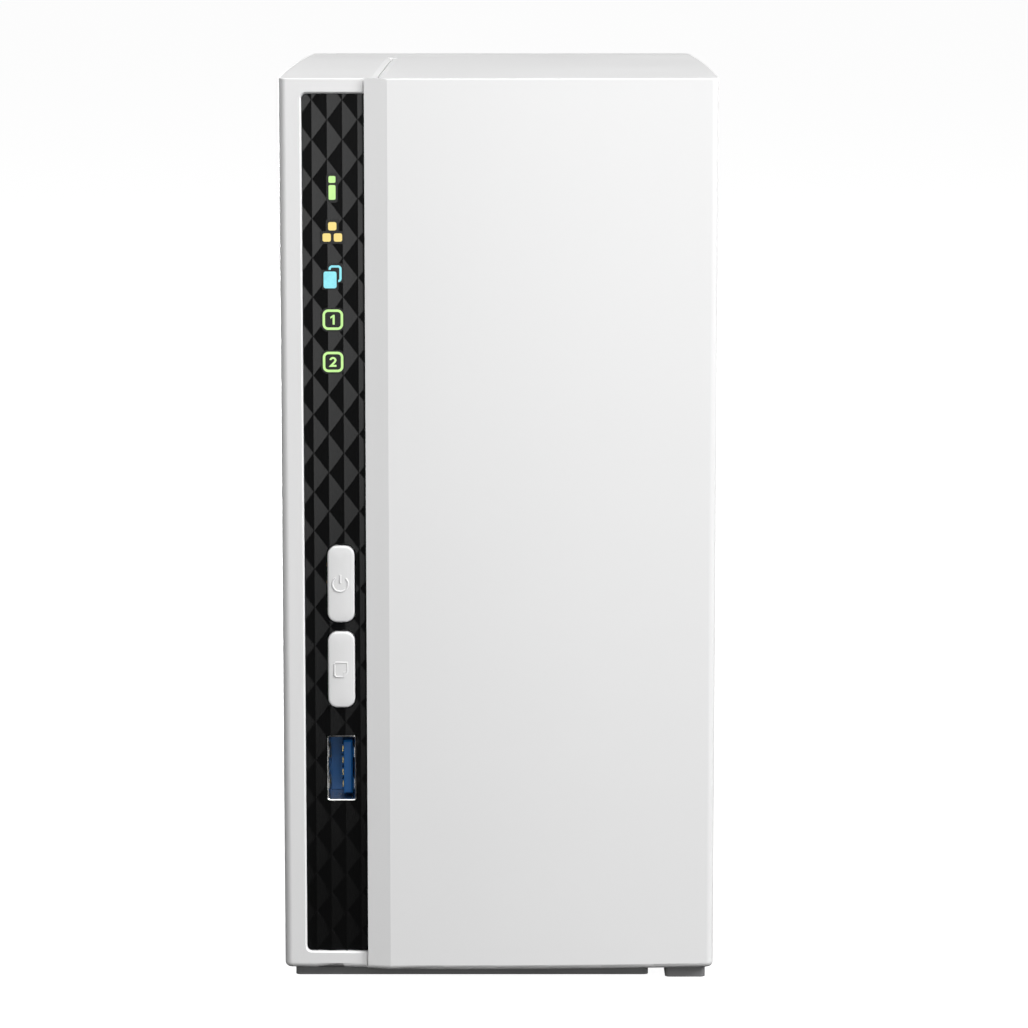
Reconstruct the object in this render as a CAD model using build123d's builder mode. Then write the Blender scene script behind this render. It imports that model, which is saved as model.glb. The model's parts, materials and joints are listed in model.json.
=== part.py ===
from build123d import *
import os
from math import sqrt

# Two-bay network attached storage unit.
# Millimetres. The origin is on the table, under the middle of the unit. +Z is up,
# the front faces -Y, and +X is to the right as seen from the front.

os.makedirs("parts", exist_ok=True)

# ---------------------------------------------------------------- casing
WIDTH = 90.18
DEPTH = 156.26
HEIGHT = 188.64                 # from the soles to the crown of the top
FOOT_HEIGHT = 2.68              # the base stands this far off the table
WALL = 2.0                      # least thickness of the casing walls
TOP_CROWN = 0.47                # rise of the top between its front and back edges
SIDE_BOW = 0.27                 # swell of each side between its front and back edges
FRONT_RADIUS = 620.0            # the front is an arc in plan
FRONT_APEX_X = -9.0             # where that arc stands furthest forward
TOP_ROUND = 0.3
BASE_ROUND = 1.1
FRONT_ROUND = 1.6
BACK_ROUND = 3.0

# ---------------------------------------------------------------- clearances
SLIP = 0.3                      # between pieces on different bodies
SEAT = 0.1                      # round a fixed piece in the opening that it fills
SHAFT_FIT = 0.05                # radial, round a shaft or plunger in its bore
JOIN = 0.01                     # overlap that makes two touching shapes one solid
SCREW_FIT = 0.05                # radial, round a screw in its hole

# ---------------------------------------------------------------- sliding cover
COVER_DEPTH = 113.5             # the cover reaches this far back from the front
BEZEL_WIDTH = 17.73             # left side to the cover's front edge
BEZEL_STEP = 1.45               # the bezel stands this far behind the cover's arc
FACET_WIDTH = 4.71              # sloping strip along the cover's front edge
FACET_DROP = 0.73               # how far that strip falls behind the arc
SEAM_INSET = 20.29              # left side to the seam in the top
SEAM_BEVEL_LEFT = 1.0           # widths of the two bevels along the seam
SEAM_BEVEL_RIGHT = 1.3
SEAM_BEVEL_DEPTH = 0.3
BASE_FLANGE = 11.7              # width of the cover's flange under the base
LAP = 4.0                       # ledges that the cover's edges rest over
LAP_THICKNESS = 1.3
LEDGE_SET_BACK = 2.0            # faceted panel to the ledge under the seam
FLANGE_LEDGE = 3.0              # ledge's reach over the cover's flange
REBATE_GAP_HEIGHT = 4.5         # the rebate is left out up to this height above the floor
JAMB = 2.0                      # upright at the right of the faceted panel
JAMB_DEPTH = 8.0
TONGUE_WIDTH = 5.2              # arm that the cover screw holds
TONGUE_HEIGHT = 6.8
TONGUE_LIFT = 1.9               # gap under it, to the base

# ---------------------------------------------------------------- faceted panel
PANEL_INSET = 4.9               # left side to the panel's opening
PANEL_BASE = 6.29               # opening's lowest edge above the table
PANEL_TOP_GAP = 3.57            # crown of the top to the opening's highest edge
PANEL_CORNER = 1.1
PANEL_THICKNESS = 2.0
PANEL_FLANGE = 1.0              # plate behind the opening that holds the panel in
PANEL_FLANGE_LIP = 0.8
PANEL_BEVEL = 0.35              # bevel round the opening
ICON_X = 11.09                  # left side to the middle of the icons
ICON_DEPTH = 0.5                # each icon is a clear inlay of this thickness
STATUS_Z = 165.9
NETWORK_Z = 156.9
COPY_Z = 147.7
DRIVE_1_Z = 138.9
DRIVE_2_Z = 130.2

STATUS_STROKE = 1.42
STATUS_DOT = (1.4, 1.7)        # its height, and its middle above the icon's middle
STATUS_BAR = (3.0, -0.95)
STATUS_CORNER = 0.3
NETWORK_SQUARE = 1.7
NETWORK_STEP = 1.15             # middle of the icon to the middle of each square
NETWORK_CORNER = 0.4
SHEET_ICON = (2.65, 3.44)
SHEET_ICON_STEP = (0.52, 0.63)
SHEET_ICON_STROKE = 0.45
SHEET_ICON_GAP = 0.35
SHEET_ICON_CORNER = 0.75
SHEET_ICON_FRONT_CORNER = 0.45
RING_ICON = 4.2
RING_ICON_STROKE = 0.5
RING_ICON_CORNER = 1.15
DIGIT_STROKE = 0.4

# ---------------------------------------------------------------- front buttons
BUTTON_X = 12.45                # left side to the middle of the buttons
BUTTON_WIDTH = 5.58
BUTTON_HEIGHT = 15.91
BUTTON_CORNER = 1.95
BUTTON_PROUD = 1.0              # stands this far in front of the panel
BUTTON_ROUND = 0.5
BUTTON_TRAVEL = 0.6
POWER_BUTTON_Z = 84.12
BUTTON_GAP = 2.04               # between the two buttons
SYMBOL_RAISE = 0.12
SYMBOL_STROKE = 0.36
POWER_RING_RADIUS = 1.45
POWER_RING_START = 125          # degrees, where the ring starts
POWER_RING_TURN = 290           # degrees that it runs
POWER_BAR = (1.5, 1.0)          # its length, and its middle above the ring's middle
SHEET_SYMBOL = (3.0, 3.4)
SHEET_SYMBOL_CORNER = 0.6
SHEET_SYMBOL_FOLD = 0.85
BUTTON_LIP = 0.7                # rim behind the panel that keeps a button in
STEM_RADIUS = 2.0
SWITCH_SIZE = 6.0
SWITCH_DEPTH = 3.6
SWITCH_SET_BACK = 1.0           # mainboard's front edge to the switches
PLUNGER_RADIUS = 1.5
PLUNGER_GAP = 1.2               # stem's end to the switch
PLUNGER_REACH = 1.2             # how far a plunger stands inside its switch
GUIDE_SIZE = 3.2
GUIDE_SPINE = 1.2
LED_WIDTH = 3.0
LED_HEIGHT = 1.4
LED_DEPTH = 1.5

# ---------------------------------------------------------------- sockets
USB_WIDTH = 13.79               # flared mouth of the shell
USB_HEIGHT = 6.13
USB_DEPTH = 16.0
USB_SKIN = 0.4
USB_TONGUE = 1.9
USB_TONGUE_OFFSET = 1.25        # middle of the shell to the middle of the tongue
FRONT_USB_Z = 45.25
LAN_WIDTH = 16.0
LAN_HEIGHT = 13.5
LAN_DEPTH = 21.0
LAN_SKIN = 0.5
LAN_BORE_WIDTH = 11.8
LAN_BORE_HEIGHT = 6.8
LAN_BORE_DEPTH = 13.0
USB_TONGUE_SET_BACK = 1.2
USB_TONGUE_WIDTH = 11.2
USB_HEEL = 2.0                  # block behind the tongue
USB_CONTACTS = 4
USB_CONTACT_PITCH = 2.5
USB_CONTACT_WIDTH = 1.2
CONTACT = 0.2                   # thickness of contact strips
LAN_INSERT_FLOOR = 1.6
LAN_LATCH_STEPS = ((1.6, 6.2), (3.2, 3.4))
LAN_CONTACTS = 8
LAN_CONTACT_PITCH = 1.02
LAN_CONTACT_RISE = 1.2
LAN_CONTACT_SET_BACK = 3.0
JACK_WIDTH = 9.0
JACK_HEIGHT = 11.0
JACK_DEPTH = 14.2
JACK_BORE_RADIUS = 3.2
JACK_PIN_RADIUS = 1.25
JACK_BORE_DEPTH = 9.5
PORT_PROUD = 0.5                # the rear sockets stand out of the panel by this
JACK_Z = 18.0
LAN_Z = 35.0
REAR_USB_Z = (54.0, 72.0)
RESET_Z = 87.0
RESET_RADIUS = 1.25
RESET_TRAVEL = 0.5
RESET_SET_BACK = 0.3            # the reset button's face behind the panel's face
RESET_SWITCH_GAP = 3.0
RESET_COLLAR = 0.6
JACK_PIN_SET_BACK = 1.0

# ---------------------------------------------------------------- mainboard
BOARD = 1.6
BOARD_FACE_INSET = 9.29         # left side to the board's component face
BOARD_FRONT_GAP = 9.5           # front of the unit to the board's front edge
BOARD_BASE = 9.0                # board's lowest edge above the table
BOARD_TOP_GAP = 6.0             # ceiling to the board's highest edge
BOARD_FAN_GAP = 3.0
BOARD_REAR_GAP = 0.6
STANDOFF_RADIUS = 3.0
BOARD_HOLE_INSET = 8.0          # board's front edge, and the fan, to the board's holes
BOARD_HOLE_DROP = 5.0           # board's highest edge to its highest holes
BOARD_FRONT_HOLES = (25.0, 102.0)
BOARD_REAR_HOLES = (14.0, 92.0)
PROCESSOR_SIZE = 17.0
PROCESSOR_Z = 120.0
PROCESSOR_FROM_FRONT = 62.0
CHIP_HEIGHT = 1.3
HEATSINK_SIZE = 38.0
HEATSINK_PLATE = 2.2
HEATSINK_HEIGHT = 9.5
HEATSINK_FIN = 1.1
HEATSINK_FINS = 11
MEMORY_WIDTH = 9.0
MEMORY_LENGTH = 13.0
MEMORY_FROM_PROCESSOR = 22.0
MEMORY_PITCH = 15.6
TRANSFORMER_SIZE = (10.0, 18.0)
TRANSFORMER_HEIGHT = 6.0
TRANSFORMER_GAP = 4.0
CAPACITORS = 4
CAPACITOR_RADIUS = 3.15
CAPACITOR_HEIGHT = 7.7
CAPACITOR_PITCH = 9.0
CAPACITOR_Z = 20.0
CELL_RADIUS = 10.0
CELL_THICKNESS = 3.2
CELL_RIM = 1.8
CELL_FLOOR = 1.0
CELL_ROUND = 0.5
CELL_Z = 66.0

# ---------------------------------------------------------------- fan
FAN_SIZE = 80.0
FAN_THICKNESS = 25.0
FAN_HOLE_INSET = 4.25           # outside of the frame to the screw holes
FAN_RIM = 1.7                   # thinnest part of the frame, between its side and the bore
FAN_FLANGE = 4.0
FAN_TOP_GAP = 5.0               # ceiling to the fan
FAN_HUB_RADIUS = 17.0
FAN_HUB_LENGTH = 18.0
FAN_TIP_CLEARANCE = 0.9
FAN_BLADES = 7
FAN_STRUT = 3.5
FAN_PLATE = 2.5
FAN_SHAFT_RADIUS = 1.5
FAN_BEARING_RADIUS = 3.0
FAN_WALL = 1.4
FAN_SLEEVE = 14.0
FAN_HUB_WALL = 1.5
FAN_SLEEVE_WALL = 1.0
FAN_STRUT_REACH = 0.5           # each strut runs this far into the frame's wall
FAN_COIL_GAP = 1.0              # coil to the hub round it, and to the hub's end
FAN_HUB_SET_BACK = 1.2
FAN_SHAFT_SET_BACK = 1.0
BLADE_THICKNESS = 1.3
BLADE_REACH = 8.0               # half of a blade's length along the axis
BLADE_RISE = 6.5                # half of its rise round the axis
BLADE_BOW = 1.4
HEADER_SIZE = 6.0
HEADER_SET_BACK = 6.0
HEADER_DROP = 22.0
LEAD_RADIUS = 1.2
LEAD_BEND = 5.0
LEAD_LOOP = 11.0
LEAD_FROM_FAN_FRONT = 8.0

# ---------------------------------------------------------------- rear panel
REAR_RECESS = 1.5
SHEET = 1.0                     # sheet steel of the rear panel and the drive cage
GRILLE_HOLE = 2.6               # hexagons, centre to corner
GRILLE_PITCH = 5.6
GRILLE_RINGS = 8
SCREW_RADIUS = 1.5
HEAD_RADIUS = 2.9
HEAD_HEIGHT = 1.3
SCREW_LENGTH = 8.0
PANEL_SCREW_INSET = 9.0         # inner sides to the rear panel's upper screws
PANEL_SCREW_LOW_LEFT = 34.0     # inner left side to its lower left screw
PANEL_SCREW_LOW_RIGHT = 18.0    # inner right side to its lower right screw
LOCK_SLOT = (7.0, 3.0)
LOCK_X = 8.0
LOCK_Z = 40.0
BOSS_HALF = 3.4
BOSS_HEIGHT = 5.4
BOSS_DEPTH = 12.0
COVER_SCREW_LENGTH = 8.0
TONGUE_END_GAP = 1.0            # rear panel to the end of the cover's tongue
TONGUE_ROOT = 15.0              # length over which the tongue joins the cover

# ---------------------------------------------------------------- air slots in the base
VENT_LENGTH = 22.0
VENT_WIDTH = 2.6
VENT_PITCH = 5.6
VENT_COLUMNS = 7
VENT_ROWS = 2
VENT_SHIFT = 2.0                # slots stand this far left of the cage's middle

# ---------------------------------------------------------------- drives and cage
DRIVE_LENGTH = 147.0
DRIVE_WIDTH = 101.6
DRIVE_THICKNESS = 26.1
DRIVE_FRONT_GAP = 7.0           # front of the unit to the drives
DRIVE_BASE = 24.0               # drives' lowest face above the table
DRIVE_SIDE_HOLES = (28.5, 130.0)
CAGE_INSET = 23.0               # left side to the cage's left wall
CAGE_FLOOR_Z = 15.0
CAGE_WALL_HEIGHT = 125.0
CAGE_REACH_FRONT = 1.0          # cage's front edge before the drives
CAGE_REACH_BACK = 1.5           # cage's back edge behind the drives
CAGE_HOLE_LEFT = 8.0            # cage's edges to its four holes
CAGE_HOLE_RIGHT = 11.0
CAGE_HOLE_FRONT = 9.0
CAGE_HOLE_BACK = 8.0
TRAY_GAP = 0.5                  # cage wall to tray
TRAY_WEB = 1.5
TRAY_SEAT = 0.2                 # tray to drive
TRAY_FLANGE = 14.0
TRAY_RISE = 5.0                 # tray's top above the drive
DRIVE_AIR_GAP = 1.2             # drive to the next cage wall
DRIVE_LID = 0.8
DRIVE_BOARD = 1.6
DRIVE_BOARD_LENGTH = 92.0
BACKPLANE_Z = 11.0
BACKPLANE_SCREW = 5.0
BACKPLANE_GAP = 2.5             # mainboard to the backplane
BACKPLANE_INSET_RIGHT = 6.0     # cage's edges to the backplane
BACKPLANE_INSET_FRONT = 19.0
BACKPLANE_INSET_BACK = 18.0
BACKPLANE_HOLE_INSET = 5.0
SATA_LENGTH = 42.0
SATA_WIDTH = 7.0
SATA_BLADE = 1.2
SATA_FROM_FRONT = 26.0
SLOT_GRIP = 4.0
SLOT_WALL = 2.0
SLOT_MARGIN = 6.0
CAGE_WINDOW = 18.0
CAGE_WINDOW_PITCH = 27.0
DRIVE_CORNER = 2.5
DRIVE_RIM = 3.0
DRIVE_LID_CORNER = 8.0
DRIVE_MOTOR_RADIUS = 14.0
DRIVE_SIDE_HOLE_X = 6.4
TRAY_SCREW = 6.0

# ---------------------------------------------------------------- feet
FOOT_INSET_FRONT = 7.2
FOOT_INSET_SIDE = 2.26
FOOT_DEPTH = 12.0
FOOT_SPLIT_GAP = 3.5
FOOT_CORNER = 1.0
COVER_FOOT_WIDTH = 8.41
COVER_FOOT_INSET = 1.81
COVER_FOOT_FORWARD = 2.05       # the cover's foot stands this far in front of the long one

# ---------------------------------------------------------------- derived places
left = -WIDTH / 2
right = WIDTH / 2
front = -DEPTH / 2
back = DEPTH / 2
beyond = 5.0                    # how far cutting shapes run past what they cut
floor_top = FOOT_HEIGHT + WALL
ceiling = HEIGHT - TOP_CROWN - WALL
inner_left = left + SIDE_BOW + WALL
inner_right = right - SIDE_BOW - WALL
cover_edge = left + BEZEL_WIDTH
cover_end = front + COVER_DEPTH
seam_left = left + SEAM_INSET - SLIP / 2
seam_right = left + SEAM_INSET + SLIP / 2
flange_left = right - BASE_FLANGE
rear_outer = back - REAR_RECESS
rear_inner = rear_outer - SHEET


def front_y(x, set_back):
    """Depth of the front arc at x, moved back by set_back."""
    sagitta = FRONT_RADIUS - sqrt(FRONT_RADIUS**2 - (x - FRONT_APEX_X) ** 2)
    return front + set_back + sagitta


panel_front = front_y(cover_edge, WALL + SLIP)
panel_back = panel_front + PANEL_THICKNESS
panel_left = left + PANEL_INSET
panel_top = HEIGHT - PANEL_TOP_GAP
jamb_left = left + SEAM_INSET - 2 * SLIP
jamb_right = jamb_left + JAMB
panel_right = jamb_left
board_face = left + BOARD_FACE_INSET
board_back = board_face - BOARD
board_front = front + BOARD_FRONT_GAP
icon_x = left + ICON_X
button_x = left + BUTTON_X
copy_button_z = POWER_BUTTON_Z - BUTTON_HEIGHT - BUTTON_GAP
button_front = panel_front - BUTTON_PROUD
front_usb_x = board_face + USB_HEIGHT / 2
fan_back = rear_inner
fan_front = fan_back - FAN_THICKNESS
fan_z = ceiling - FAN_TOP_GAP - FAN_SIZE / 2
fan_base = fan_z - FAN_SIZE / 2
fan_bore = FAN_SIZE / 2 - FAN_RIM
fan_hole_pitch = FAN_SIZE - 2 * FAN_HOLE_INSET
drive_front = front + DRIVE_FRONT_GAP
drive_back = drive_front + DRIVE_WIDTH
drive_middle_y = (drive_front + drive_back) / 2
drive_top = DRIVE_BASE + DRIVE_LENGTH
cage_left = left + CAGE_INSET
bay_pitch = SHEET + TRAY_GAP + TRAY_WEB + TRAY_SEAT + DRIVE_THICKNESS + DRIVE_AIR_GAP
cage_right = cage_left + 2 * bay_pitch + SHEET
cage_front = drive_front - CAGE_REACH_FRONT
cage_back = drive_back + CAGE_REACH_BACK
tongue_right = inner_right - SLIP - SEAT
tongue_left = tongue_right - TONGUE_WIDTH
tongue_base = floor_top + TONGUE_LIFT
tongue_top = tongue_base + TONGUE_HEIGHT
cover_screw_x = (tongue_left + tongue_right) / 2
cover_screw_z = (tongue_base + tongue_top) / 2
tongue_end = rear_inner - TONGUE_END_GAP
side_edge = WIDTH / 2 - SIDE_BOW
vent_middle_x = (cage_left + cage_right) / 2 - VENT_SHIFT
vent_middle_y = (cage_front + cage_back) / 2
screw_hole = SCREW_RADIUS + SCREW_FIT
board_top = ceiling - BOARD_TOP_GAP


# ---------------------------------------------------------------- helpers
def across(y):
    """Plane across the unit at depth y: x runs right, y runs up, extrude grows forwards."""
    return Plane.XZ.offset(-y)


def lengthways(x):
    """Plane along the unit at x: x runs back, y runs up, extrude grows to the right."""
    return Plane.YZ.offset(x)


def forward(x, y, z):
    """Plane at a point, facing the front."""
    return Plane((x, y, z), x_dir=(1, 0, 0), z_dir=(0, -1, 0))


def backward(x, y, z):
    """Plane at a point, facing the back."""
    return Plane((x, y, z), x_dir=(-1, 0, 0), z_dir=(0, 1, 0))


def rightward(x, y, z):
    """Plane at a point, facing right."""
    return Plane((x, y, z), x_dir=(0, 1, 0), z_dir=(1, 0, 0))


def upward(x, y, z):
    """Plane at a point, facing up."""
    return Plane((x, y, z), z_dir=(0, 0, 1))


def block(x, y, z, mode=Mode.ADD):
    """Adds or cuts the box between the low and high ends in x, y and z."""
    with Locations((x[0], y[0], z[0])):
        Box(x[1] - x[0], y[1] - y[0], z[1] - z[0], align=(Align.MIN,) * 3, mode=mode)


def round_bar(plane, radius, length, mode=Mode.ADD):
    """Adds or cuts a round bar that starts on a plane and grows along its normal."""
    with Locations(plane):
        Cylinder(radius, length, align=(Align.CENTER, Align.CENTER, Align.MIN), mode=mode)


def screw(plane, length=SCREW_LENGTH, radius=SCREW_RADIUS, head=HEAD_RADIUS):
    """Adds a pan-head screw with a cross recess: the plane is under its head, facing out."""
    round_bar(plane, head, HEAD_HEIGHT)
    round_bar(plane.offset(-length), radius, length)
    with Locations(plane.offset(HEAD_HEIGHT)):
        for width, height in ((head, head / 4), (head / 4, head)):
            Box(width, height, HEAD_HEIGHT, mode=Mode.SUBTRACT)


def finish(piece, name):
    """Labels a finished piece and writes its file."""
    piece.part.label = name
    export_step(piece.part, f"parts/{name}.step")


def beside_front(set_back, x_low, x_high, y_far):
    """Region between the front arc, moved back, and a line across at y_far."""
    middle = (x_low + x_high) / 2
    low_point = (x_low, front_y(x_low, set_back))
    high_point = (x_high, front_y(x_high, set_back))
    with BuildSketch() as region:
        with BuildLine():
            ThreePointArc(low_point, (middle, front_y(middle, set_back)), high_point)
            Polyline(high_point, (x_high, y_far), (x_low, y_far), low_point)
        make_face()
    return region.sketch


# ---------------------------------------------------------------- side profile
# Both shells are trimmed to it, so that their tops share one gentle crown.
top_front = (front, HEIGHT - TOP_CROWN)
top_back = (back, HEIGHT - TOP_CROWN)
with BuildPart() as side_profile:
    with BuildSketch(Plane.YZ):
        with BuildLine():
            ThreePointArc(top_front, (0, HEIGHT), top_back)
            Polyline(top_back, (back, FOOT_HEIGHT), (front, FOOT_HEIGHT), top_front)
        make_face()
    extrude(amount=WIDTH, both=True)

# ---------------------------------------------------------------- main shell
# Left side, bezel, base and the whole rear section. Four inner corners carry the rear panel.
# The screws' places are pairs of coordinates across the face that each one is driven into.
upper_screw_z = ceiling - HEAD_RADIUS - SEAT
lower_screw_z = floor_top + HEAD_RADIUS + SEAT
panel_bosses = [
    (inner_left + PANEL_SCREW_INSET, upper_screw_z),
    (inner_right - PANEL_SCREW_INSET, upper_screw_z),
    (inner_left + PANEL_SCREW_LOW_LEFT, lower_screw_z),
    (inner_right - PANEL_SCREW_LOW_RIGHT, lower_screw_z),
]
top_hole_z = board_top - BOARD_HOLE_DROP
board_spots = [(board_front + BOARD_HOLE_INSET, z) for z in (*BOARD_FRONT_HOLES, top_hole_z)]
board_spots += [(fan_front - BOARD_HOLE_INSET, z) for z in (*BOARD_REAR_HOLES, top_hole_z)]
cage_spots = [
    (x, y)
    for x in (cage_left + CAGE_HOLE_LEFT, cage_right - CAGE_HOLE_RIGHT)
    for y in (cage_front + CAGE_HOLE_FRONT, cage_back - CAGE_HOLE_BACK)
]
backplane_left = board_face + BACKPLANE_GAP
backplane_right = cage_right - BACKPLANE_INSET_RIGHT
backplane_front = cage_front + BACKPLANE_INSET_FRONT
backplane_back = cage_back - BACKPLANE_INSET_BACK
backplane_spots = [
    (backplane_right - BACKPLANE_HOLE_INSET, backplane_front + BACKPLANE_HOLE_INSET),
    (backplane_right - BACKPLANE_HOLE_INSET, backplane_back - BACKPLANE_HOLE_INSET),
]


def seam_edge(x):
    """Picks the long edge at the top of a shell, at the seam's side x."""
    return lambda edge: (
        abs(edge.center().X - x) < JOIN and edge.center().Z > ceiling and edge.length > COVER_DEPTH / 2
    )


with BuildPart() as main_shell:
    with BuildSketch(Plane.XY.offset(FOOT_HEIGHT)) as outline:
        with BuildLine():
            left_corner = (-side_edge, front_y(-side_edge, BEZEL_STEP))
            right_corner = (side_edge, front_y(side_edge, BEZEL_STEP))
            ThreePointArc(left_corner, (FRONT_APEX_X, front + BEZEL_STEP), right_corner)
            ThreePointArc(right_corner, (right, 0), (side_edge, back))
            Line((side_edge, back), (-side_edge, back))
            ThreePointArc((-side_edge, back), (left, 0), left_corner)
        make_face()
        fillet(outline.vertices().sort_by(Axis.Y)[:2], FRONT_ROUND)
        fillet(outline.vertices().sort_by(Axis.Y)[-2:], BACK_ROUND)
    extrude(amount=HEIGHT - FOOT_HEIGHT)
    add(side_profile.part, mode=Mode.INTERSECT)
    fillet(main_shell.faces().sort_by(Axis.Z)[-1].edges(), TOP_ROUND)
    fillet(main_shell.faces().sort_by(Axis.Z)[0].edges(), BASE_ROUND)
    block((inner_left, inner_right), (panel_back, back + beyond), (floor_top, ceiling), Mode.SUBTRACT)
    # room for the cover: its front wall, its top and right side, and its flange under the base
    with BuildSketch(Plane.XY):
        add(beside_front(WALL + SLIP, cover_edge - SLIP, right + beyond, front - beyond))
    extrude(amount=HEIGHT + beyond, mode=Mode.SUBTRACT)
    cover_span_y = (front - beyond, cover_end + SLIP)
    block((jamb_right, right + beyond), cover_span_y, (floor_top, HEIGHT + beyond), Mode.SUBTRACT)
    block((seam_left, right + beyond), cover_span_y, (ceiling - SLIP, HEIGHT + beyond), Mode.SUBTRACT)
    block((flange_left - SLIP, right + beyond), cover_span_y, (0, floor_top + beyond), Mode.SUBTRACT)
    top_face = main_shell.faces().sort_by(Axis.Z)[-1]
    left_seam = top_face.edges().filter_by(seam_edge(seam_left))
    chamfer(left_seam, SEAM_BEVEL_LEFT, SEAM_BEVEL_DEPTH, reference=top_face)
    # upright beside the faceted panel
    jamb_span_y = (panel_back - WALL / 2, panel_front + JAMB_DEPTH)
    block((jamb_left, jamb_right), jamb_span_y, (floor_top, ceiling - SLIP))
    # opening for the faceted panel, bevelled where the bezel meets it
    with BuildSketch(across(front - beyond)):
        with Locations(((panel_left + panel_right) / 2, (PANEL_BASE + panel_top) / 2)):
            RectangleRounded(panel_right - panel_left, panel_top - PANEL_BASE, PANEL_CORNER)
    extrude(amount=-(panel_back - front + 2 * beyond), mode=Mode.SUBTRACT)
    opening_rim = main_shell.edges().filter_by(
        lambda edge: panel_left - JOIN < edge.center().X < cover_edge - SLIP - JOIN
        and edge.center().Y < panel_front - SEAT
        and PANEL_BASE - JOIN < edge.center().Z < panel_top + JOIN
    )
    chamfer(opening_rim, PANEL_BEVEL)
    # ledge under the seam in the top, and ledge over the cover's flange in the base
    ledge_span_y = (panel_back + LEDGE_SET_BACK, cover_end + LAP)
    ledge_base = ceiling - SLIP - LAP_THICKNESS
    block((seam_left - LAP, seam_left + JOIN), ledge_span_y, (ledge_base, ceiling))
    block((seam_left, seam_left + LAP), ledge_span_y, (ledge_base, ceiling - SLIP))
    flange_span_y = (front_y(right, WALL + SLIP), cover_end)
    block(
        (flange_left - LAP, flange_left + FLANGE_LEDGE),
        flange_span_y,
        (floor_top + SLIP, floor_top + SLIP + LAP_THICKNESS),
    )
    block((flange_left - LAP, flange_left - SLIP), flange_span_y, (floor_top, floor_top + SLIP + JOIN))
    # rebate round the rear section that the cover's back edge slides over: its root, then its lip
    rebate_inner = inner_right - LAP_THICKNESS - SLIP
    rebate_height = ceiling - floor_top - 2 * (LAP_THICKNESS + SLIP)
    middle_z = (floor_top + ceiling) / 2
    for gap, rebate_y, length in ((0, cover_end + LAP, LAP - JOIN), (SLIP, cover_end + JOIN, LAP)):
        with BuildSketch(across(rebate_y)):
            with Locations(((seam_left + inner_right - gap) / 2, middle_z)):
                Rectangle(inner_right - gap - seam_left, ceiling - floor_top - 2 * gap)
            with Locations(((seam_left + rebate_inner) / 2, middle_z)):
                Rectangle(rebate_inner - seam_left, rebate_height, mode=Mode.SUBTRACT)
            with Locations(((seam_left + flange_left) / 2, floor_top)):
                Rectangle(flange_left - seam_left, 2 * REBATE_GAP_HEIGHT, mode=Mode.SUBTRACT)
        extrude(amount=length)
    # the way through the rebate for the cover's tongue
    block(
        (tongue_left - SLIP, tongue_right + SLIP),
        (cover_end - 2 * LAP, cover_end + 2 * LAP),
        (tongue_base - SLIP, tongue_top + SLIP),
        Mode.SUBTRACT,
    )
    # bosses for the rear panel's screws
    for x, z in panel_bosses:
        boss_span_z = (floor_top, floor_top + BOSS_HEIGHT)
        if z == upper_screw_z:
            boss_span_z = (ceiling - FAN_TOP_GAP, ceiling)
        block((x - BOSS_HALF, x + BOSS_HALF), (rear_inner - BOSS_DEPTH, rear_inner), boss_span_z)
        round_bar(forward(x, rear_inner, z), screw_hole, SCREW_LENGTH, Mode.SUBTRACT)
    # standoffs for the mainboard on the left wall, and for the cage and backplane on the base
    for y, z in board_spots:
        spot = Plane((board_back, y, z), z_dir=(-1, 0, 0))
        round_bar(spot, STANDOFF_RADIUS, board_back - inner_left + WALL / 2)
        round_bar(spot, screw_hole, SCREW_LENGTH - BOARD, Mode.SUBTRACT)
    for x, y in cage_spots:
        spot = Plane((x, y, CAGE_FLOOR_Z), z_dir=(0, 0, -1))
        round_bar(spot, STANDOFF_RADIUS, CAGE_FLOOR_Z - floor_top + WALL / 2)
        round_bar(spot, screw_hole, SCREW_LENGTH - SHEET, Mode.SUBTRACT)
    for x, y in backplane_spots:
        spot = Plane((x, y, BACKPLANE_Z), z_dir=(0, 0, -1))
        round_bar(spot, STANDOFF_RADIUS, BACKPLANE_Z - floor_top + WALL / 2)
        round_bar(spot, screw_hole, BACKPLANE_SCREW - BOARD, Mode.SUBTRACT)
    # air slots in the base
    with BuildSketch(Plane.XY):
        with Locations((vent_middle_x, vent_middle_y)):
            with GridLocations(VENT_PITCH, VENT_LENGTH + VENT_PITCH, VENT_COLUMNS, VENT_ROWS):
                SlotOverall(VENT_LENGTH, VENT_WIDTH, rotation=90)
    extrude(amount=floor_top, mode=Mode.SUBTRACT)
finish(main_shell, "main_shell")

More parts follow.
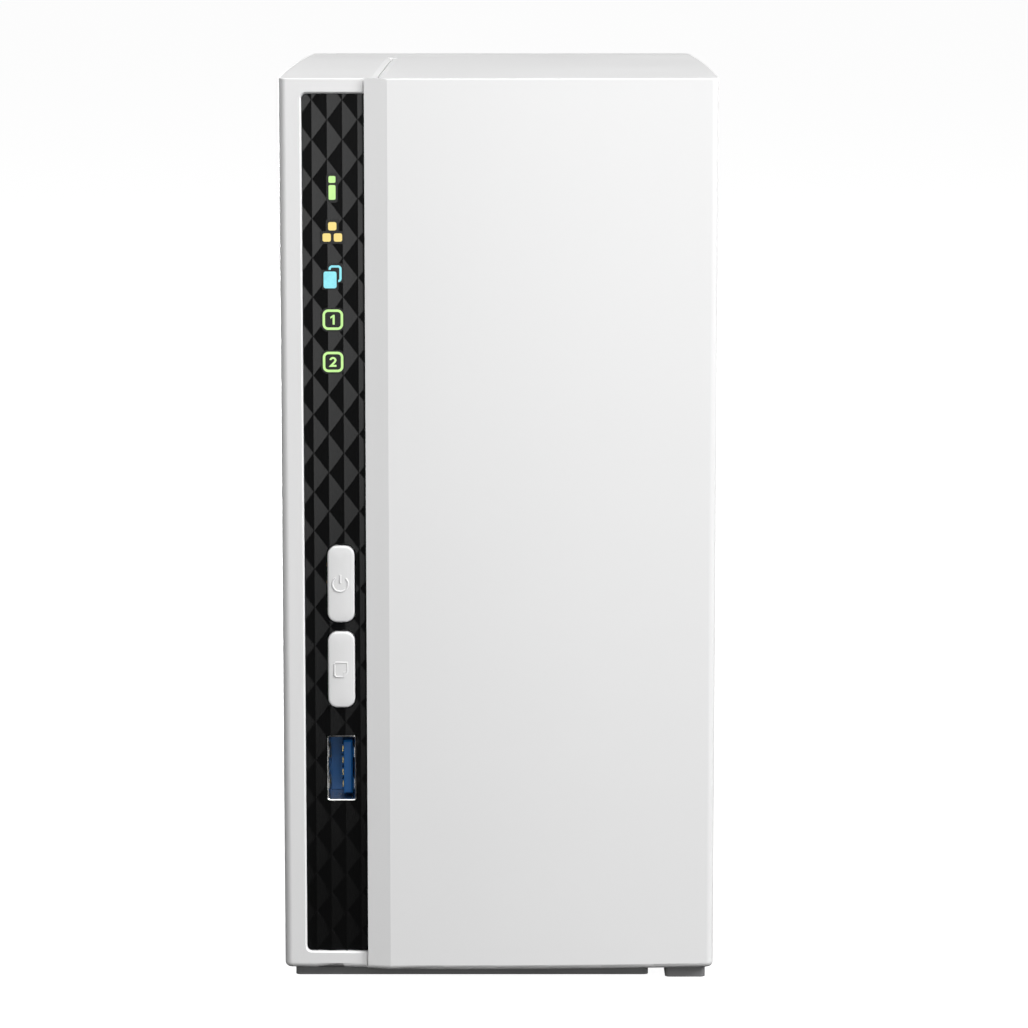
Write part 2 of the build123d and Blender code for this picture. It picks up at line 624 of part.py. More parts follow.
# ---------------------------------------------------------------- cover shell
# Front, top and right side in one piece. It slides off forwards.
with BuildPart() as cover_shell:
    facet_end = cover_edge + FACET_WIDTH
    with BuildSketch(Plane.XY.offset(FOOT_HEIGHT)) as outline:
        with BuildLine():
            Line((cover_edge, front_y(cover_edge, FACET_DROP)), (facet_end, front_y(facet_end, 0)))
            middle_x = (facet_end + side_edge) / 2
            arc_middle = (middle_x, front_y(middle_x, 0))
            front_corner = (side_edge, front_y(side_edge, 0))
            ThreePointArc((facet_end, front_y(facet_end, 0)), arc_middle, front_corner)
            ThreePointArc(front_corner, (right, 0), (side_edge, back))
            Polyline((side_edge, back), (cover_edge, back), (cover_edge, front_y(cover_edge, FACET_DROP)))
        make_face()
        fillet(outline.vertices().sort_by(Axis.X)[-2:].sort_by(Axis.Y)[0], FRONT_ROUND)
    extrude(amount=HEIGHT - FOOT_HEIGHT)
    add(side_profile.part, mode=Mode.INTERSECT)
    # the sloping strip keeps its sharp top edge
    for end_face, radius, rim_start in ((-1, TOP_ROUND, facet_end), (0, BASE_ROUND, cover_edge)):
        rim = cover_shell.faces().sort_by(Axis.Z)[end_face].edges().filter_by(
            lambda edge: edge.center().Y < back - JOIN and edge.center().X > rim_start + JOIN
        )
        fillet(rim, radius)
    with BuildSketch(Plane.XY.offset(floor_top)):
        add(beside_front(WALL, cover_edge - beyond, inner_right, back + beyond))
    extrude(amount=ceiling - floor_top, mode=Mode.SUBTRACT)
    with BuildSketch(Plane.XY):
        add(beside_front(WALL, cover_edge - beyond, flange_left, back + beyond))
    extrude(amount=floor_top + beyond, mode=Mode.SUBTRACT)
    with BuildSketch(Plane.XY.offset(ceiling - beyond)):
        add(beside_front(WALL, cover_edge - beyond, seam_right, back + beyond))
    extrude(amount=HEIGHT, mode=Mode.SUBTRACT)
    behind_cover = (cover_end, back + beyond)
    block((cover_edge - beyond, right + beyond), behind_cover, (0, HEIGHT + beyond), Mode.SUBTRACT)
    top_face = cover_shell.faces().sort_by(Axis.Z)[-1]
    right_seam = top_face.edges().filter_by(seam_edge(seam_right))
    chamfer(right_seam, SEAM_BEVEL_RIGHT, SEAM_BEVEL_DEPTH, reference=top_face)
    # tongue along the base at the right, with the cover screw's hole in its end
    block((tongue_left, tongue_right), (cover_end - TONGUE_ROOT, tongue_end), (tongue_base, tongue_top))
    root_span_x = (tongue_right - WALL / 2, inner_right + WALL / 2)
    block(root_span_x, (cover_end - TONGUE_ROOT, cover_end), (tongue_base, tongue_top))
    round_bar(
        forward(cover_screw_x, tongue_end, cover_screw_z),
        SCREW_RADIUS + SHAFT_FIT,
        COVER_SCREW_LENGTH,
        Mode.SUBTRACT,
    )
finish(cover_shell, "cover_shell")


# ---------------------------------------------------------------- icons
def status_icon():
    """Letter i: a dot over a bar."""
    with BuildSketch() as icon:
        for height, middle in (STATUS_DOT, STATUS_BAR):
            with Locations((0, middle)):
                RectangleRounded(STATUS_STROKE, height, STATUS_CORNER)
    return icon.sketch


def network_icon():
    """Three rounded squares, one over two."""
    with BuildSketch() as icon:
        with Locations((0, NETWORK_STEP), (-NETWORK_STEP, -NETWORK_STEP), (NETWORK_STEP, -NETWORK_STEP)):
            RectangleRounded(NETWORK_SQUARE, NETWORK_SQUARE, NETWORK_CORNER)
    return icon.sketch


def copy_icon():
    """A filled sheet in front of the outline of another."""
    width, height = SHEET_ICON
    step_x, step_z = SHEET_ICON_STEP
    with BuildSketch() as icon:
        with Locations((step_x, step_z)):
            RectangleRounded(width, height, SHEET_ICON_CORNER)
            RectangleRounded(
                width - 2 * SHEET_ICON_STROKE,
                height - 2 * SHEET_ICON_STROKE,
                SHEET_ICON_CORNER - SHEET_ICON_STROKE,
                mode=Mode.SUBTRACT,
            )
        with Locations((-step_x, -step_z)):
            Rectangle(width + 2 * SHEET_ICON_GAP, height + 2 * SHEET_ICON_GAP, mode=Mode.SUBTRACT)
            RectangleRounded(width, height, SHEET_ICON_FRONT_CORNER)
    return icon.sketch


def drive_icon(digit):
    """A rounded ring round the number of the drive."""
    inside = RING_ICON - 2 * RING_ICON_STROKE
    with BuildSketch() as icon:
        RectangleRounded(RING_ICON, RING_ICON, RING_ICON_CORNER)
        RectangleRounded(inside, inside, RING_ICON_CORNER - RING_ICON_STROKE, mode=Mode.SUBTRACT)
        add(digit)
    return icon.sketch


def digit_one():
    """Numeral 1, drawn through the corners of its outline."""
    stem = ((-0.05, -1.0), (0.38, -1.0), (0.38, 1.0), (0.05, 1.0))
    corners = (*stem, (-0.5, 0.6), (-0.5, 0.2), (-0.05, 0.5))
    with BuildSketch() as digit:
        with BuildLine():
            Polyline(*corners, close=True)
        make_face()
    return digit.sketch


def digit_two():
    """Numeral 2, drawn along the middle of its stroke."""
    with BuildSketch() as digit:
        with BuildLine():
            ThreePointArc((-0.55, 0.4), (0.0, 0.82), (0.5, 0.35))
            Polyline((0.5, 0.35), (0.35, 0.02), (-0.45, -0.8), (0.68, -0.8))
        trace(line_width=DIGIT_STROKE)
    return digit.sketch


icons = {
    "status_lens": (status_icon(), STATUS_Z),
    "network_lens": (network_icon(), NETWORK_Z),
    "copy_lens": (copy_icon(), COPY_Z),
    "drive_1_lens": (drive_icon(digit_one()), DRIVE_1_Z),
    "drive_2_lens": (drive_icon(digit_two()), DRIVE_2_Z),
}

# ---------------------------------------------------------------- faceted panel
# Fills the bezel's opening from behind. The buttons and the socket pass through it.
panel_middle = ((panel_left + panel_right) / 2, (PANEL_BASE + panel_top) / 2)
panel_width = panel_right - panel_left
panel_height = panel_top - PANEL_BASE

with BuildPart() as led_panel:
    with BuildSketch(across(panel_back)):
        with Locations(panel_middle):
            RectangleRounded(panel_width - 2 * SEAT, panel_height - 2 * SEAT, PANEL_CORNER - SEAT)
    extrude(amount=PANEL_THICKNESS)
    block(
        (panel_left - PANEL_FLANGE_LIP, panel_right - SEAT),
        (panel_back, panel_back + PANEL_FLANGE),
        (PANEL_BASE - PANEL_FLANGE_LIP, panel_top + PANEL_FLANGE_LIP),
    )
    with BuildSketch(across(front)):
        with Locations((button_x, POWER_BUTTON_Z), (button_x, copy_button_z)):
            RectangleRounded(BUTTON_WIDTH + 2 * SLIP, BUTTON_HEIGHT + 2 * SLIP, BUTTON_CORNER + SLIP)
        with Locations((front_usb_x, FRONT_USB_Z)):
            Rectangle(USB_HEIGHT + 2 * SEAT, USB_WIDTH + 2 * SEAT)
    extrude(amount=front - panel_back - PANEL_FLANGE - beyond, mode=Mode.SUBTRACT)
    for icon, icon_z in icons.values():
        with BuildSketch(across(panel_front)):
            with Locations((icon_x, icon_z)):
                add(icon)
        extrude(amount=-ICON_DEPTH, mode=Mode.SUBTRACT)
finish(led_panel, "led_panel")

for name, (icon, icon_z) in icons.items():
    with BuildPart() as lens:
        with BuildSketch(across(panel_front)):
            with Locations((icon_x, icon_z)):
                add(icon)
        extrude(amount=-ICON_DEPTH)
    finish(lens, name)

# ---------------------------------------------------------------- light guide and lamps
guide_front = panel_back + PANEL_FLANGE
guide_back = board_front - SEAT
with BuildPart() as light_guide:
    for _, icon_z in icons.values():
        block(
            (board_face + SEAT, board_face + GUIDE_SIZE),
            (guide_front, guide_back),
            (icon_z - GUIDE_SIZE / 2, icon_z + GUIDE_SIZE / 2),
        )
    block(
        (board_face + GUIDE_SIZE - SEAT, board_face + GUIDE_SIZE + GUIDE_SPINE),
        (guide_front, guide_front + GUIDE_SPINE),
        (DRIVE_2_Z - GUIDE_SIZE / 2, STATUS_Z + GUIDE_SIZE / 2),
    )
finish(light_guide, "light_guide")

with BuildPart() as led_chips:
    for _, icon_z in icons.values():
        block(
            (board_face, board_face + LED_HEIGHT),
            (board_front, board_front + LED_DEPTH),
            (icon_z - LED_WIDTH / 2, icon_z + LED_WIDTH / 2),
        )
finish(led_chips, "led_chips")


# ---------------------------------------------------------------- front buttons
def power_symbol():
    """A ring, open at the top, with a short bar in the gap."""
    bar_length, bar_middle = POWER_BAR
    with BuildSketch() as symbol:
        with BuildLine():
            CenterArc((0, 0), POWER_RING_RADIUS, POWER_RING_START, POWER_RING_TURN)
        trace(line_width=SYMBOL_STROKE)
        with Locations((0, bar_middle)):
            Rectangle(SYMBOL_STROKE, bar_length)
    return symbol.sketch


def copy_symbol():
    """Outline of a sheet with one corner turned."""
    width, height = SHEET_SYMBOL
    right_edge = width / 2 - SYMBOL_STROKE
    top_edge = height / 2 - SYMBOL_STROKE
    with BuildSketch() as symbol:
        RectangleRounded(width, height, SHEET_SYMBOL_CORNER)
        with BuildLine():
            Polyline(
                (-right_edge, top_edge),
                (right_edge, top_edge),
                (right_edge, SHEET_SYMBOL_FOLD - top_edge),
                (right_edge - SHEET_SYMBOL_FOLD, -top_edge),
                (-right_edge, -top_edge),
                close=True,
            )
        make_face(mode=Mode.SUBTRACT)
    return symbol.sketch


buttons = {
    "power": (POWER_BUTTON_Z, power_symbol()),
    "copy": (copy_button_z, copy_symbol()),
}
button_back = panel_back + PANEL_FLANGE + SLIP + BUTTON_LIP
lip_width = BUTTON_WIDTH + 2 * BUTTON_LIP
lip_height = BUTTON_HEIGHT + 2 * BUTTON_LIP
switch_front = board_front + SWITCH_SET_BACK
stem_end = switch_front - PLUNGER_GAP
for name, (button_z, symbol) in buttons.items():
    with BuildPart() as button:
        with BuildSketch(across(button_back)):
            with Locations((button_x, button_z)):
                RectangleRounded(BUTTON_WIDTH, BUTTON_HEIGHT, BUTTON_CORNER)
        extrude(amount=button_back - button_front)
        fillet(button.faces().sort_by(Axis.Y)[0].edges(), BUTTON_ROUND)
        with BuildSketch(across(button_front)):
            with Locations((button_x, button_z)):
                add(symbol)
        extrude(amount=SYMBOL_RAISE)
        # lip behind the panel that keeps the button in, and the stem that meets the plunger
        with BuildSketch(across(button_back)):
            with Locations((button_x, button_z)):
                RectangleRounded(lip_width, lip_height, BUTTON_CORNER + BUTTON_LIP)
        extrude(amount=BUTTON_LIP)
        round_bar(forward(button_x, stem_end, button_z), STEM_RADIUS, stem_end - button_back)
    finish(button, f"{name}_button")

    with BuildPart() as plunger:
        plunger_end = switch_front + PLUNGER_REACH
        round_bar(forward(button_x, plunger_end, button_z), PLUNGER_RADIUS, plunger_end - stem_end)
    finish(plunger, f"{name}_plunger")


# ---------------------------------------------------------------- socket shells, tongues and contacts
def socket_shell(x, mouth_y, z, facing):
    """Metal shell of an upright USB socket, open at its mouth. facing is -1 to the front, 1 to the back."""
    inner_height = USB_HEIGHT - 2 * USB_SKIN
    inner_width = USB_WIDTH - 2 * USB_SKIN
    end_y = mouth_y - facing * USB_DEPTH
    outer_span = sorted((mouth_y, end_y))
    inner_span = sorted((mouth_y + facing, end_y + facing * USB_SKIN))
    block((x - USB_HEIGHT / 2, x + USB_HEIGHT / 2), outer_span, (z - USB_WIDTH / 2, z + USB_WIDTH / 2))
    block(
        (x - inner_height / 2, x + inner_height / 2),
        inner_span,
        (z - inner_width / 2, z + inner_width / 2),
        Mode.SUBTRACT,
    )


def socket_tongue(x, mouth_y, z, facing):
    """Plastic tongue of an upright USB socket, with the heel that closes the shell behind it."""
    inner_height = USB_HEIGHT - 2 * USB_SKIN
    inner_width = USB_WIDTH - 2 * USB_SKIN
    floor_y = mouth_y - facing * (USB_DEPTH - USB_SKIN)
    tip_y = mouth_y - facing * USB_TONGUE_SET_BACK
    tongue_x = x + USB_TONGUE_OFFSET
    block(
        (tongue_x - USB_TONGUE / 2, tongue_x + USB_TONGUE / 2),
        sorted((tip_y, floor_y)),
        (z - USB_TONGUE_WIDTH / 2, z + USB_TONGUE_WIDTH / 2),
    )
    block(
        (x - inner_height / 2, x + inner_height / 2),
        sorted((floor_y + facing * USB_HEEL, floor_y)),
        (z - inner_width / 2, z + inner_width / 2),
    )


def socket_contacts(x, mouth_y, z, facing):
    """Contact strips on the left face of a socket's tongue."""
    face_x = x + USB_TONGUE_OFFSET - USB_TONGUE / 2
    tip_y = mouth_y - facing * (USB_TONGUE_SET_BACK + 1.0)
    heel_y = mouth_y - facing * (USB_DEPTH - USB_SKIN - USB_HEEL)
    for step in range(USB_CONTACTS):
        contact_z = z + (step - (USB_CONTACTS - 1) / 2) * USB_CONTACT_PITCH
        block(
            (face_x - CONTACT, face_x),
            sorted((tip_y, heel_y)),
            (contact_z - USB_CONTACT_WIDTH / 2, contact_z + USB_CONTACT_WIDTH / 2),
        )


with BuildPart() as front_usb_shell:
    socket_shell(front_usb_x, panel_front, FRONT_USB_Z, -1)
finish(front_usb_shell, "front_usb_shell")

with BuildPart() as front_usb_tongue:
    socket_tongue(front_usb_x, panel_front, FRONT_USB_Z, -1)
finish(front_usb_tongue, "front_usb_tongue")

with BuildPart() as front_usb_contacts:
    socket_contacts(front_usb_x, panel_front, FRONT_USB_Z, -1)
finish(front_usb_contacts, "front_usb_contacts")

port_mouth = rear_outer + PORT_PROUD
with BuildPart() as rear_usb_shells:
    for z in REAR_USB_Z:
        socket_shell(front_usb_x, port_mouth, z, 1)
finish(rear_usb_shells, "rear_usb_shells")

with BuildPart() as rear_usb_tongues:
    for z in REAR_USB_Z:
        socket_tongue(front_usb_x, port_mouth, z, 1)
finish(rear_usb_tongues, "rear_usb_tongues")

lan_front = port_mouth - LAN_DEPTH
lan_span_x = (board_face, board_face + LAN_HEIGHT)
lan_span_z = (LAN_Z - LAN_WIDTH / 2, LAN_Z + LAN_WIDTH / 2)
insert_span_x = (lan_span_x[0] + LAN_SKIN, lan_span_x[1] - LAN_SKIN)
insert_span_z = (lan_span_z[0] + LAN_SKIN, lan_span_z[1] - LAN_SKIN)
bore_low_x = insert_span_x[0] + LAN_INSERT_FLOOR
bore_high_x = bore_low_x + LAN_BORE_HEIGHT
bore_span_y = (port_mouth - LAN_BORE_DEPTH, port_mouth)

with BuildPart() as lan_port_shell:
    block(lan_span_x, (lan_front, port_mouth), lan_span_z)
    block(insert_span_x, (lan_front + LAN_SKIN, port_mouth + beyond), insert_span_z, Mode.SUBTRACT)
finish(lan_port_shell, "lan_port_shell")

with BuildPart() as lan_port_insert:
    block(insert_span_x, (lan_front + LAN_SKIN, port_mouth - LAN_SKIN), insert_span_z)
    block(
        (bore_low_x, bore_high_x),
        bore_span_y,
        (LAN_Z - LAN_BORE_WIDTH / 2, LAN_Z + LAN_BORE_WIDTH / 2),
        Mode.SUBTRACT,
    )
    for rise, width in LAN_LATCH_STEPS:
        latch_span_z = (LAN_Z - width / 2, LAN_Z + width / 2)
        block((bore_high_x - SEAT, bore_high_x + rise), bore_span_y, latch_span_z, Mode.SUBTRACT)
finish(lan_port_insert, "lan_port_insert")

with BuildPart() as lan_port_contacts:
    for step in range(LAN_CONTACTS):
        contact_z = LAN_Z + (step - (LAN_CONTACTS - 1) / 2) * LAN_CONTACT_PITCH
        block(
            (bore_low_x, bore_low_x + LAN_CONTACT_RISE),
            (bore_span_y[0], port_mouth - LAN_CONTACT_SET_BACK),
            (contact_z - CONTACT, contact_z + CONTACT),
        )
finish(lan_port_contacts, "lan_port_contacts")

jack_x = board_face + JACK_HEIGHT / 2
with BuildPart() as dc_jack_housing:
    block(
        (board_face, board_face + JACK_HEIGHT),
        (port_mouth - JACK_DEPTH, port_mouth),
        (JACK_Z - JACK_WIDTH / 2, JACK_Z + JACK_WIDTH / 2),
    )
    round_bar(forward(jack_x, port_mouth, JACK_Z), JACK_BORE_RADIUS, JACK_BORE_DEPTH, Mode.SUBTRACT)
finish(dc_jack_housing, "dc_jack_housing")

with BuildPart() as dc_jack_pin:
    pin_base = port_mouth - JACK_BORE_DEPTH
    round_bar(backward(jack_x, pin_base, JACK_Z), JACK_PIN_RADIUS, JACK_BORE_DEPTH - JACK_PIN_SET_BACK)
    fillet(dc_jack_pin.faces().sort_by(Axis.Y)[-1].edges(), JACK_PIN_RADIUS / 2)
finish(dc_jack_pin, "dc_jack_pin")

reset_x = board_face + SWITCH_SIZE / 2
reset_face = rear_outer - RESET_SET_BACK
reset_switch_back = rear_inner - RESET_SWITCH_GAP
with BuildPart() as reset_button:
    round_bar(
        forward(reset_x, reset_face, RESET_Z),
        RESET_RADIUS,
        reset_face - reset_switch_back + PLUNGER_REACH,
    )
    fillet(reset_button.faces().sort_by(Axis.Y)[-1].edges(), RESET_RADIUS / 4)
    round_bar(forward(reset_x, rear_inner - SLIP, RESET_Z), RESET_RADIUS + BUTTON_LIP, RESET_COLLAR)
finish(reset_button, "reset_button")

with BuildPart() as push_switches:
    for button_z, _ in buttons.values():
        block(
            (board_face, button_x + SWITCH_SIZE / 2),
            (switch_front, switch_front + SWITCH_DEPTH),
            (button_z - SWITCH_SIZE / 2, button_z + SWITCH_SIZE / 2),
        )
        round_bar(
            backward(button_x, switch_front, button_z),
            PLUNGER_RADIUS + SHAFT_FIT,
            PLUNGER_REACH + BUTTON_TRAVEL + SLIP,
            Mode.SUBTRACT,
        )
    block(
        (board_face, board_face + SWITCH_SIZE),
        (reset_switch_back - SWITCH_DEPTH, reset_switch_back),
        (RESET_Z - SWITCH_SIZE / 2, RESET_Z + SWITCH_SIZE / 2),
    )
    round_bar(
        forward(reset_x, reset_switch_back, RESET_Z),
        RESET_RADIUS + SHAFT_FIT,
        PLUNGER_REACH + RESET_TRAVEL + SLIP,
        Mode.SUBTRACT,
    )
finish(push_switches, "push_switches")

# ---------------------------------------------------------------- mainboard and its parts
board_upper_back = fan_front - BOARD_FAN_GAP
board_lower_top = fan_base - BOARD_FAN_GAP
board_lower_back = rear_inner - BOARD_REAR_GAP

with BuildPart() as mainboard:
    block((board_back, board_face), (board_front, board_upper_back), (BOARD_BASE, board_top))
    block((board_back, board_face), (board_upper_back, board_lower_back), (BOARD_BASE, board_lower_top))
    for y, z in board_spots:
        round_bar(rightward(board_back, y, z), screw_hole, BOARD, Mode.SUBTRACT)
finish(mainboard, "mainboard")

with BuildPart() as inner_screws:
    for y, z in board_spots:
        screw(rightward(board_face, y, z))
    for x, y in cage_spots:
        screw(upward(x, y, CAGE_FLOOR_Z + SHEET))
    for x, y in backplane_spots:
        screw(upward(x, y, BACKPLANE_Z + BOARD), BACKPLANE_SCREW)
finish(inner_screws, "inner_screws")

processor_y = board_front + PROCESSOR_FROM_FRONT
sink_base = board_face + CHIP_HEIGHT
sink_span_y = (processor_y - HEATSINK_SIZE / 2, processor_y + HEATSINK_SIZE / 2)
sink_span_z = (PROCESSOR_Z - HEATSINK_SIZE / 2, PROCESSOR_Z + HEATSINK_SIZE / 2)

with BuildPart() as processor:
    block(
        (board_face, sink_base),
        (processor_y - PROCESSOR_SIZE / 2, processor_y + PROCESSOR_SIZE / 2),
        (PROCESSOR_Z - PROCESSOR_SIZE / 2, PROCESSOR_Z + PROCESSOR_SIZE / 2),
    )
finish(processor, "processor")

with BuildPart() as heatsink:
    block((sink_base, sink_base + HEATSINK_PLATE), sink_span_y, sink_span_z)
    fin_pitch = (HEATSINK_SIZE - HEATSINK_FIN) / (HEATSINK_FINS - 1)
    for step in range(HEATSINK_FINS):
        fin_y = sink_span_y[0] + step * fin_pitch
        block((sink_base, sink_base + HEATSINK_HEIGHT), (fin_y, fin_y + HEATSINK_FIN), sink_span_z)
finish(heatsink, "heatsink")

with BuildPart() as memory_chips:
    memory_y = processor_y + MEMORY_FROM_PROCESSOR
    for step in (-1, 1):
        chip_z = PROCESSOR_Z + step * MEMORY_PITCH / 2
        block(
            (board_face, sink_base),
            (memory_y, memory_y + MEMORY_WIDTH),
            (chip_z - MEMORY_LENGTH / 2, chip_z + MEMORY_LENGTH / 2),
        )
finish(memory_chips, "memory_chips")

transformer_back = lan_front - TRANSFORMER_GAP
with BuildPart() as lan_transformer:
    block(
        (board_face, board_face + TRANSFORMER_HEIGHT),
        (transformer_back - TRANSFORMER_SIZE[0], transformer_back),
        (LAN_Z - TRANSFORMER_SIZE[1] / 2, LAN_Z + TRANSFORMER_SIZE[1] / 2),
    )
finish(lan_transformer, "lan_transformer")

capacitor_y = transformer_back - TRANSFORMER_SIZE[0] - CAPACITOR_PITCH
with BuildPart() as board_capacitors:
    for step in range(CAPACITORS):
        spot = rightward(board_face, capacitor_y, CAPACITOR_Z + step * CAPACITOR_PITCH)
        round_bar(spot, CAPACITOR_RADIUS, CAPACITOR_HEIGHT)
finish(board_capacitors, "board_capacitors")

cell_base = board_face + CELL_FLOOR
with BuildPart() as cell_holder:
    rim_height = CELL_FLOOR + CELL_THICKNESS / 2
    round_bar(rightward(board_face, processor_y, CELL_Z), CELL_RADIUS + CELL_RIM, rim_height)
    round_bar(rightward(cell_base, processor_y, CELL_Z), CELL_RADIUS + SEAT, CELL_THICKNESS, Mode.SUBTRACT)
finish(cell_holder, "cell_holder")

with BuildPart() as coin_cell:
    round_bar(rightward(cell_base, processor_y, CELL_Z), CELL_RADIUS, CELL_THICKNESS)
    fillet(coin_cell.faces().sort_by(Axis.X)[-1].edges(), CELL_ROUND)
finish(coin_cell, "coin_cell")

# ---------------------------------------------------------------- rear panel
fan_hole_spots = [
    (side * fan_hole_pitch / 2, fan_z + rise * fan_hole_pitch / 2)
    for side in (-1, 1)
    for rise in (-1, 1)
]
with BuildPart() as rear_panel:
    panel_span_z = (floor_top + SEAT, ceiling - SEAT)
    block((inner_left + SEAT, inner_right - SEAT), (rear_inner, rear_outer), panel_span_z)
    with BuildSketch(across(rear_outer)):
        with Locations((0, fan_z)):
            with HexLocations(GRILLE_PITCH / 2, 2 * GRILLE_RINGS + 1, 2 * GRILLE_RINGS + 1):
                RegularPolygon(GRILLE_HOLE, 6)
            Circle(fan_bore, mode=Mode.INTERSECT)
    extrude(amount=SHEET, mode=Mode.SUBTRACT)
    with BuildSketch(across(rear_outer)):
        with Locations(*fan_hole_spots, *panel_bosses, (cover_screw_x, cover_screw_z)):
            Circle(screw_hole)
        with Locations((front_usb_x, REAR_USB_Z[0]), (front_usb_x, REAR_USB_Z[1])):
            Rectangle(USB_HEIGHT + 2 * SEAT, USB_WIDTH + 2 * SEAT)
        with Locations((board_face + LAN_HEIGHT / 2, LAN_Z)):
            Rectangle(LAN_HEIGHT + 2 * SEAT, LAN_WIDTH + 2 * SEAT)
        with Locations((jack_x, JACK_Z)):
            Rectangle(JACK_HEIGHT + 2 * SEAT, JACK_WIDTH + 2 * SEAT)
        with Locations((reset_x, RESET_Z)):
            Circle(RESET_RADIUS + SLIP)
        with Locations((LOCK_X, LOCK_Z)):
            Rectangle(*LOCK_SLOT)
    extrude(amount=SHEET, mode=Mode.SUBTRACT)
finish(rear_panel, "rear_panel")

with BuildPart() as rear_screws:
    for x, z in panel_bosses + fan_hole_spots:
        screw(backward(x, rear_outer, z))
finish(rear_screws, "rear_screws")

with BuildPart() as cover_screw:
    screw(backward(cover_screw_x, rear_outer, cover_screw_z))
finish(cover_screw, "cover_screw")

# ---------------------------------------------------------------- fan
with BuildPart() as fan_frame:
    for flange_back in (fan_back, fan_front + FAN_FLANGE):
        with BuildSketch(across(flange_back)):
            with Locations((0, fan_z)):
                RectangleRounded(FAN_SIZE, FAN_SIZE, FAN_FLANGE)
        extrude(amount=FAN_FLANGE)
    with BuildSketch(across(fan_back)):
        with Locations((0, fan_z)):
            Circle(fan_bore + FAN_WALL)
            Rectangle(FAN_SIZE, FAN_SIZE, mode=Mode.INTERSECT)
    extrude(amount=FAN_THICKNESS)
    bore_length = FAN_THICKNESS + 2 * beyond
    round_bar(forward(0, fan_back + beyond, fan_z), fan_bore, bore_length, Mode.SUBTRACT)
    # motor plate, its four struts and the sleeve that holds the bearing
    with BuildSketch(across(fan_back)):
        with Locations((0, fan_z)):
            for angle in (45, -45):
                Rectangle(2 * (fan_bore + FAN_STRUT_REACH), FAN_STRUT, rotation=angle)
            Circle(FAN_HUB_RADIUS)
    extrude(amount=FAN_PLATE)
    round_bar(forward(0, fan_back, fan_z), FAN_BEARING_RADIUS + FAN_SLEEVE_WALL, FAN_PLATE + FAN_SLEEVE)
    round_bar(forward(0, fan_back, fan_z), FAN_BEARING_RADIUS, FAN_PLATE + FAN_SLEEVE, Mode.SUBTRACT)
    for x, z in fan_hole_spots:
        round_bar(forward(x, fan_back, z), screw_hole, FAN_THICKNESS, Mode.SUBTRACT)
finish(fan_frame, "fan_frame")

with BuildPart() as fan_bearing:
    round_bar(forward(0, fan_back, fan_z), FAN_BEARING_RADIUS, FAN_PLATE + FAN_SLEEVE)
    sleeve_length = FAN_PLATE + FAN_SLEEVE
    round_bar(forward(0, fan_back, fan_z), FAN_SHAFT_RADIUS + SHAFT_FIT, sleeve_length, Mode.SUBTRACT)
finish(fan_bearing, "fan_bearing")

with BuildPart() as fan_coil:
    coil_plane = forward(0, fan_back - FAN_PLATE, fan_z)
    round_bar(coil_plane, FAN_HUB_RADIUS - FAN_HUB_WALL - FAN_COIL_GAP, FAN_SLEEVE - FAN_COIL_GAP)
    round_bar(coil_plane, FAN_BEARING_RADIUS + FAN_SLEEVE_WALL, FAN_SLEEVE, Mode.SUBTRACT)
finish(fan_coil, "fan_coil")

hub_front = fan_front + FAN_HUB_SET_BACK
hub_back = hub_front + FAN_HUB_LENGTH
blade_tip = fan_bore - FAN_TIP_CLEARANCE
with BuildPart() as fan_rotor:
    round_bar(forward(0, hub_back, fan_z), FAN_HUB_RADIUS, FAN_HUB_LENGTH)
    fillet(fan_rotor.faces().sort_by(Axis.Y)[0].edges(), FAN_HUB_WALL)
    with BuildSketch(rightward(FAN_HUB_RADIUS - FAN_HUB_WALL, (hub_front + hub_back) / 2, fan_z)):
        with BuildLine():
            ThreePointArc((-BLADE_REACH, -BLADE_RISE), (0, BLADE_BOW), (BLADE_REACH, BLADE_RISE))
        trace(line_width=BLADE_THICKNESS)
    blade = extrude(amount=blade_tip - FAN_HUB_RADIUS + FAN_HUB_WALL, mode=Mode.PRIVATE)
    fan_axis = Axis((0, hub_back, fan_z), (0, 1, 0))
    for step in range(FAN_BLADES):
        add(blade.rotate(fan_axis, step * 360 / FAN_BLADES))
    round_bar(forward(0, hub_back + beyond, fan_z), blade_tip, FAN_THICKNESS + 2 * beyond, Mode.INTERSECT)
    round_bar(
        forward(0, hub_back, fan_z),
        FAN_HUB_RADIUS - FAN_HUB_WALL,
        FAN_HUB_LENGTH - FAN_HUB_WALL,
        Mode.SUBTRACT,
    )
    bore_length = FAN_HUB_LENGTH - FAN_HUB_WALL / 2
    round_bar(forward(0, hub_back, fan_z), FAN_SHAFT_RADIUS, bore_length, Mode.SUBTRACT)
finish(fan_rotor, "fan_rotor")

with BuildPart() as fan_shaft:
    shaft_front = hub_front + FAN_HUB_WALL / 2
    shaft_back = fan_back - FAN_SHAFT_SET_BACK
    round_bar(forward(0, shaft_back, fan_z), FAN_SHAFT_RADIUS, shaft_back - shaft_front)
finish(fan_shaft, "fan_shaft")

# fan lead, from the fan's base to its plug socket on the mainboard
header_y = board_upper_back - HEADER_SET_BACK
header_top = board_lower_top - HEADER_DROP
lead_x = board_face + HEADER_SIZE / 2
with BuildPart() as fan_lead:
    lead_start = (lead_x, fan_front + LEAD_FROM_FAN_FRONT, fan_base)
    with BuildLine() as lead_path:
        FilletPolyline(
            lead_start,
            (lead_x, lead_start[1], header_top + LEAD_LOOP),
            (lead_x, header_y, header_top + LEAD_LOOP),
            (lead_x, header_y, header_top),
            radius=LEAD_BEND,
        )
    with BuildSketch(Plane(lead_start, z_dir=(0, 0, -1))):
        Circle(LEAD_RADIUS)
    sweep(path=lead_path.line)
finish(fan_lead, "fan_lead")

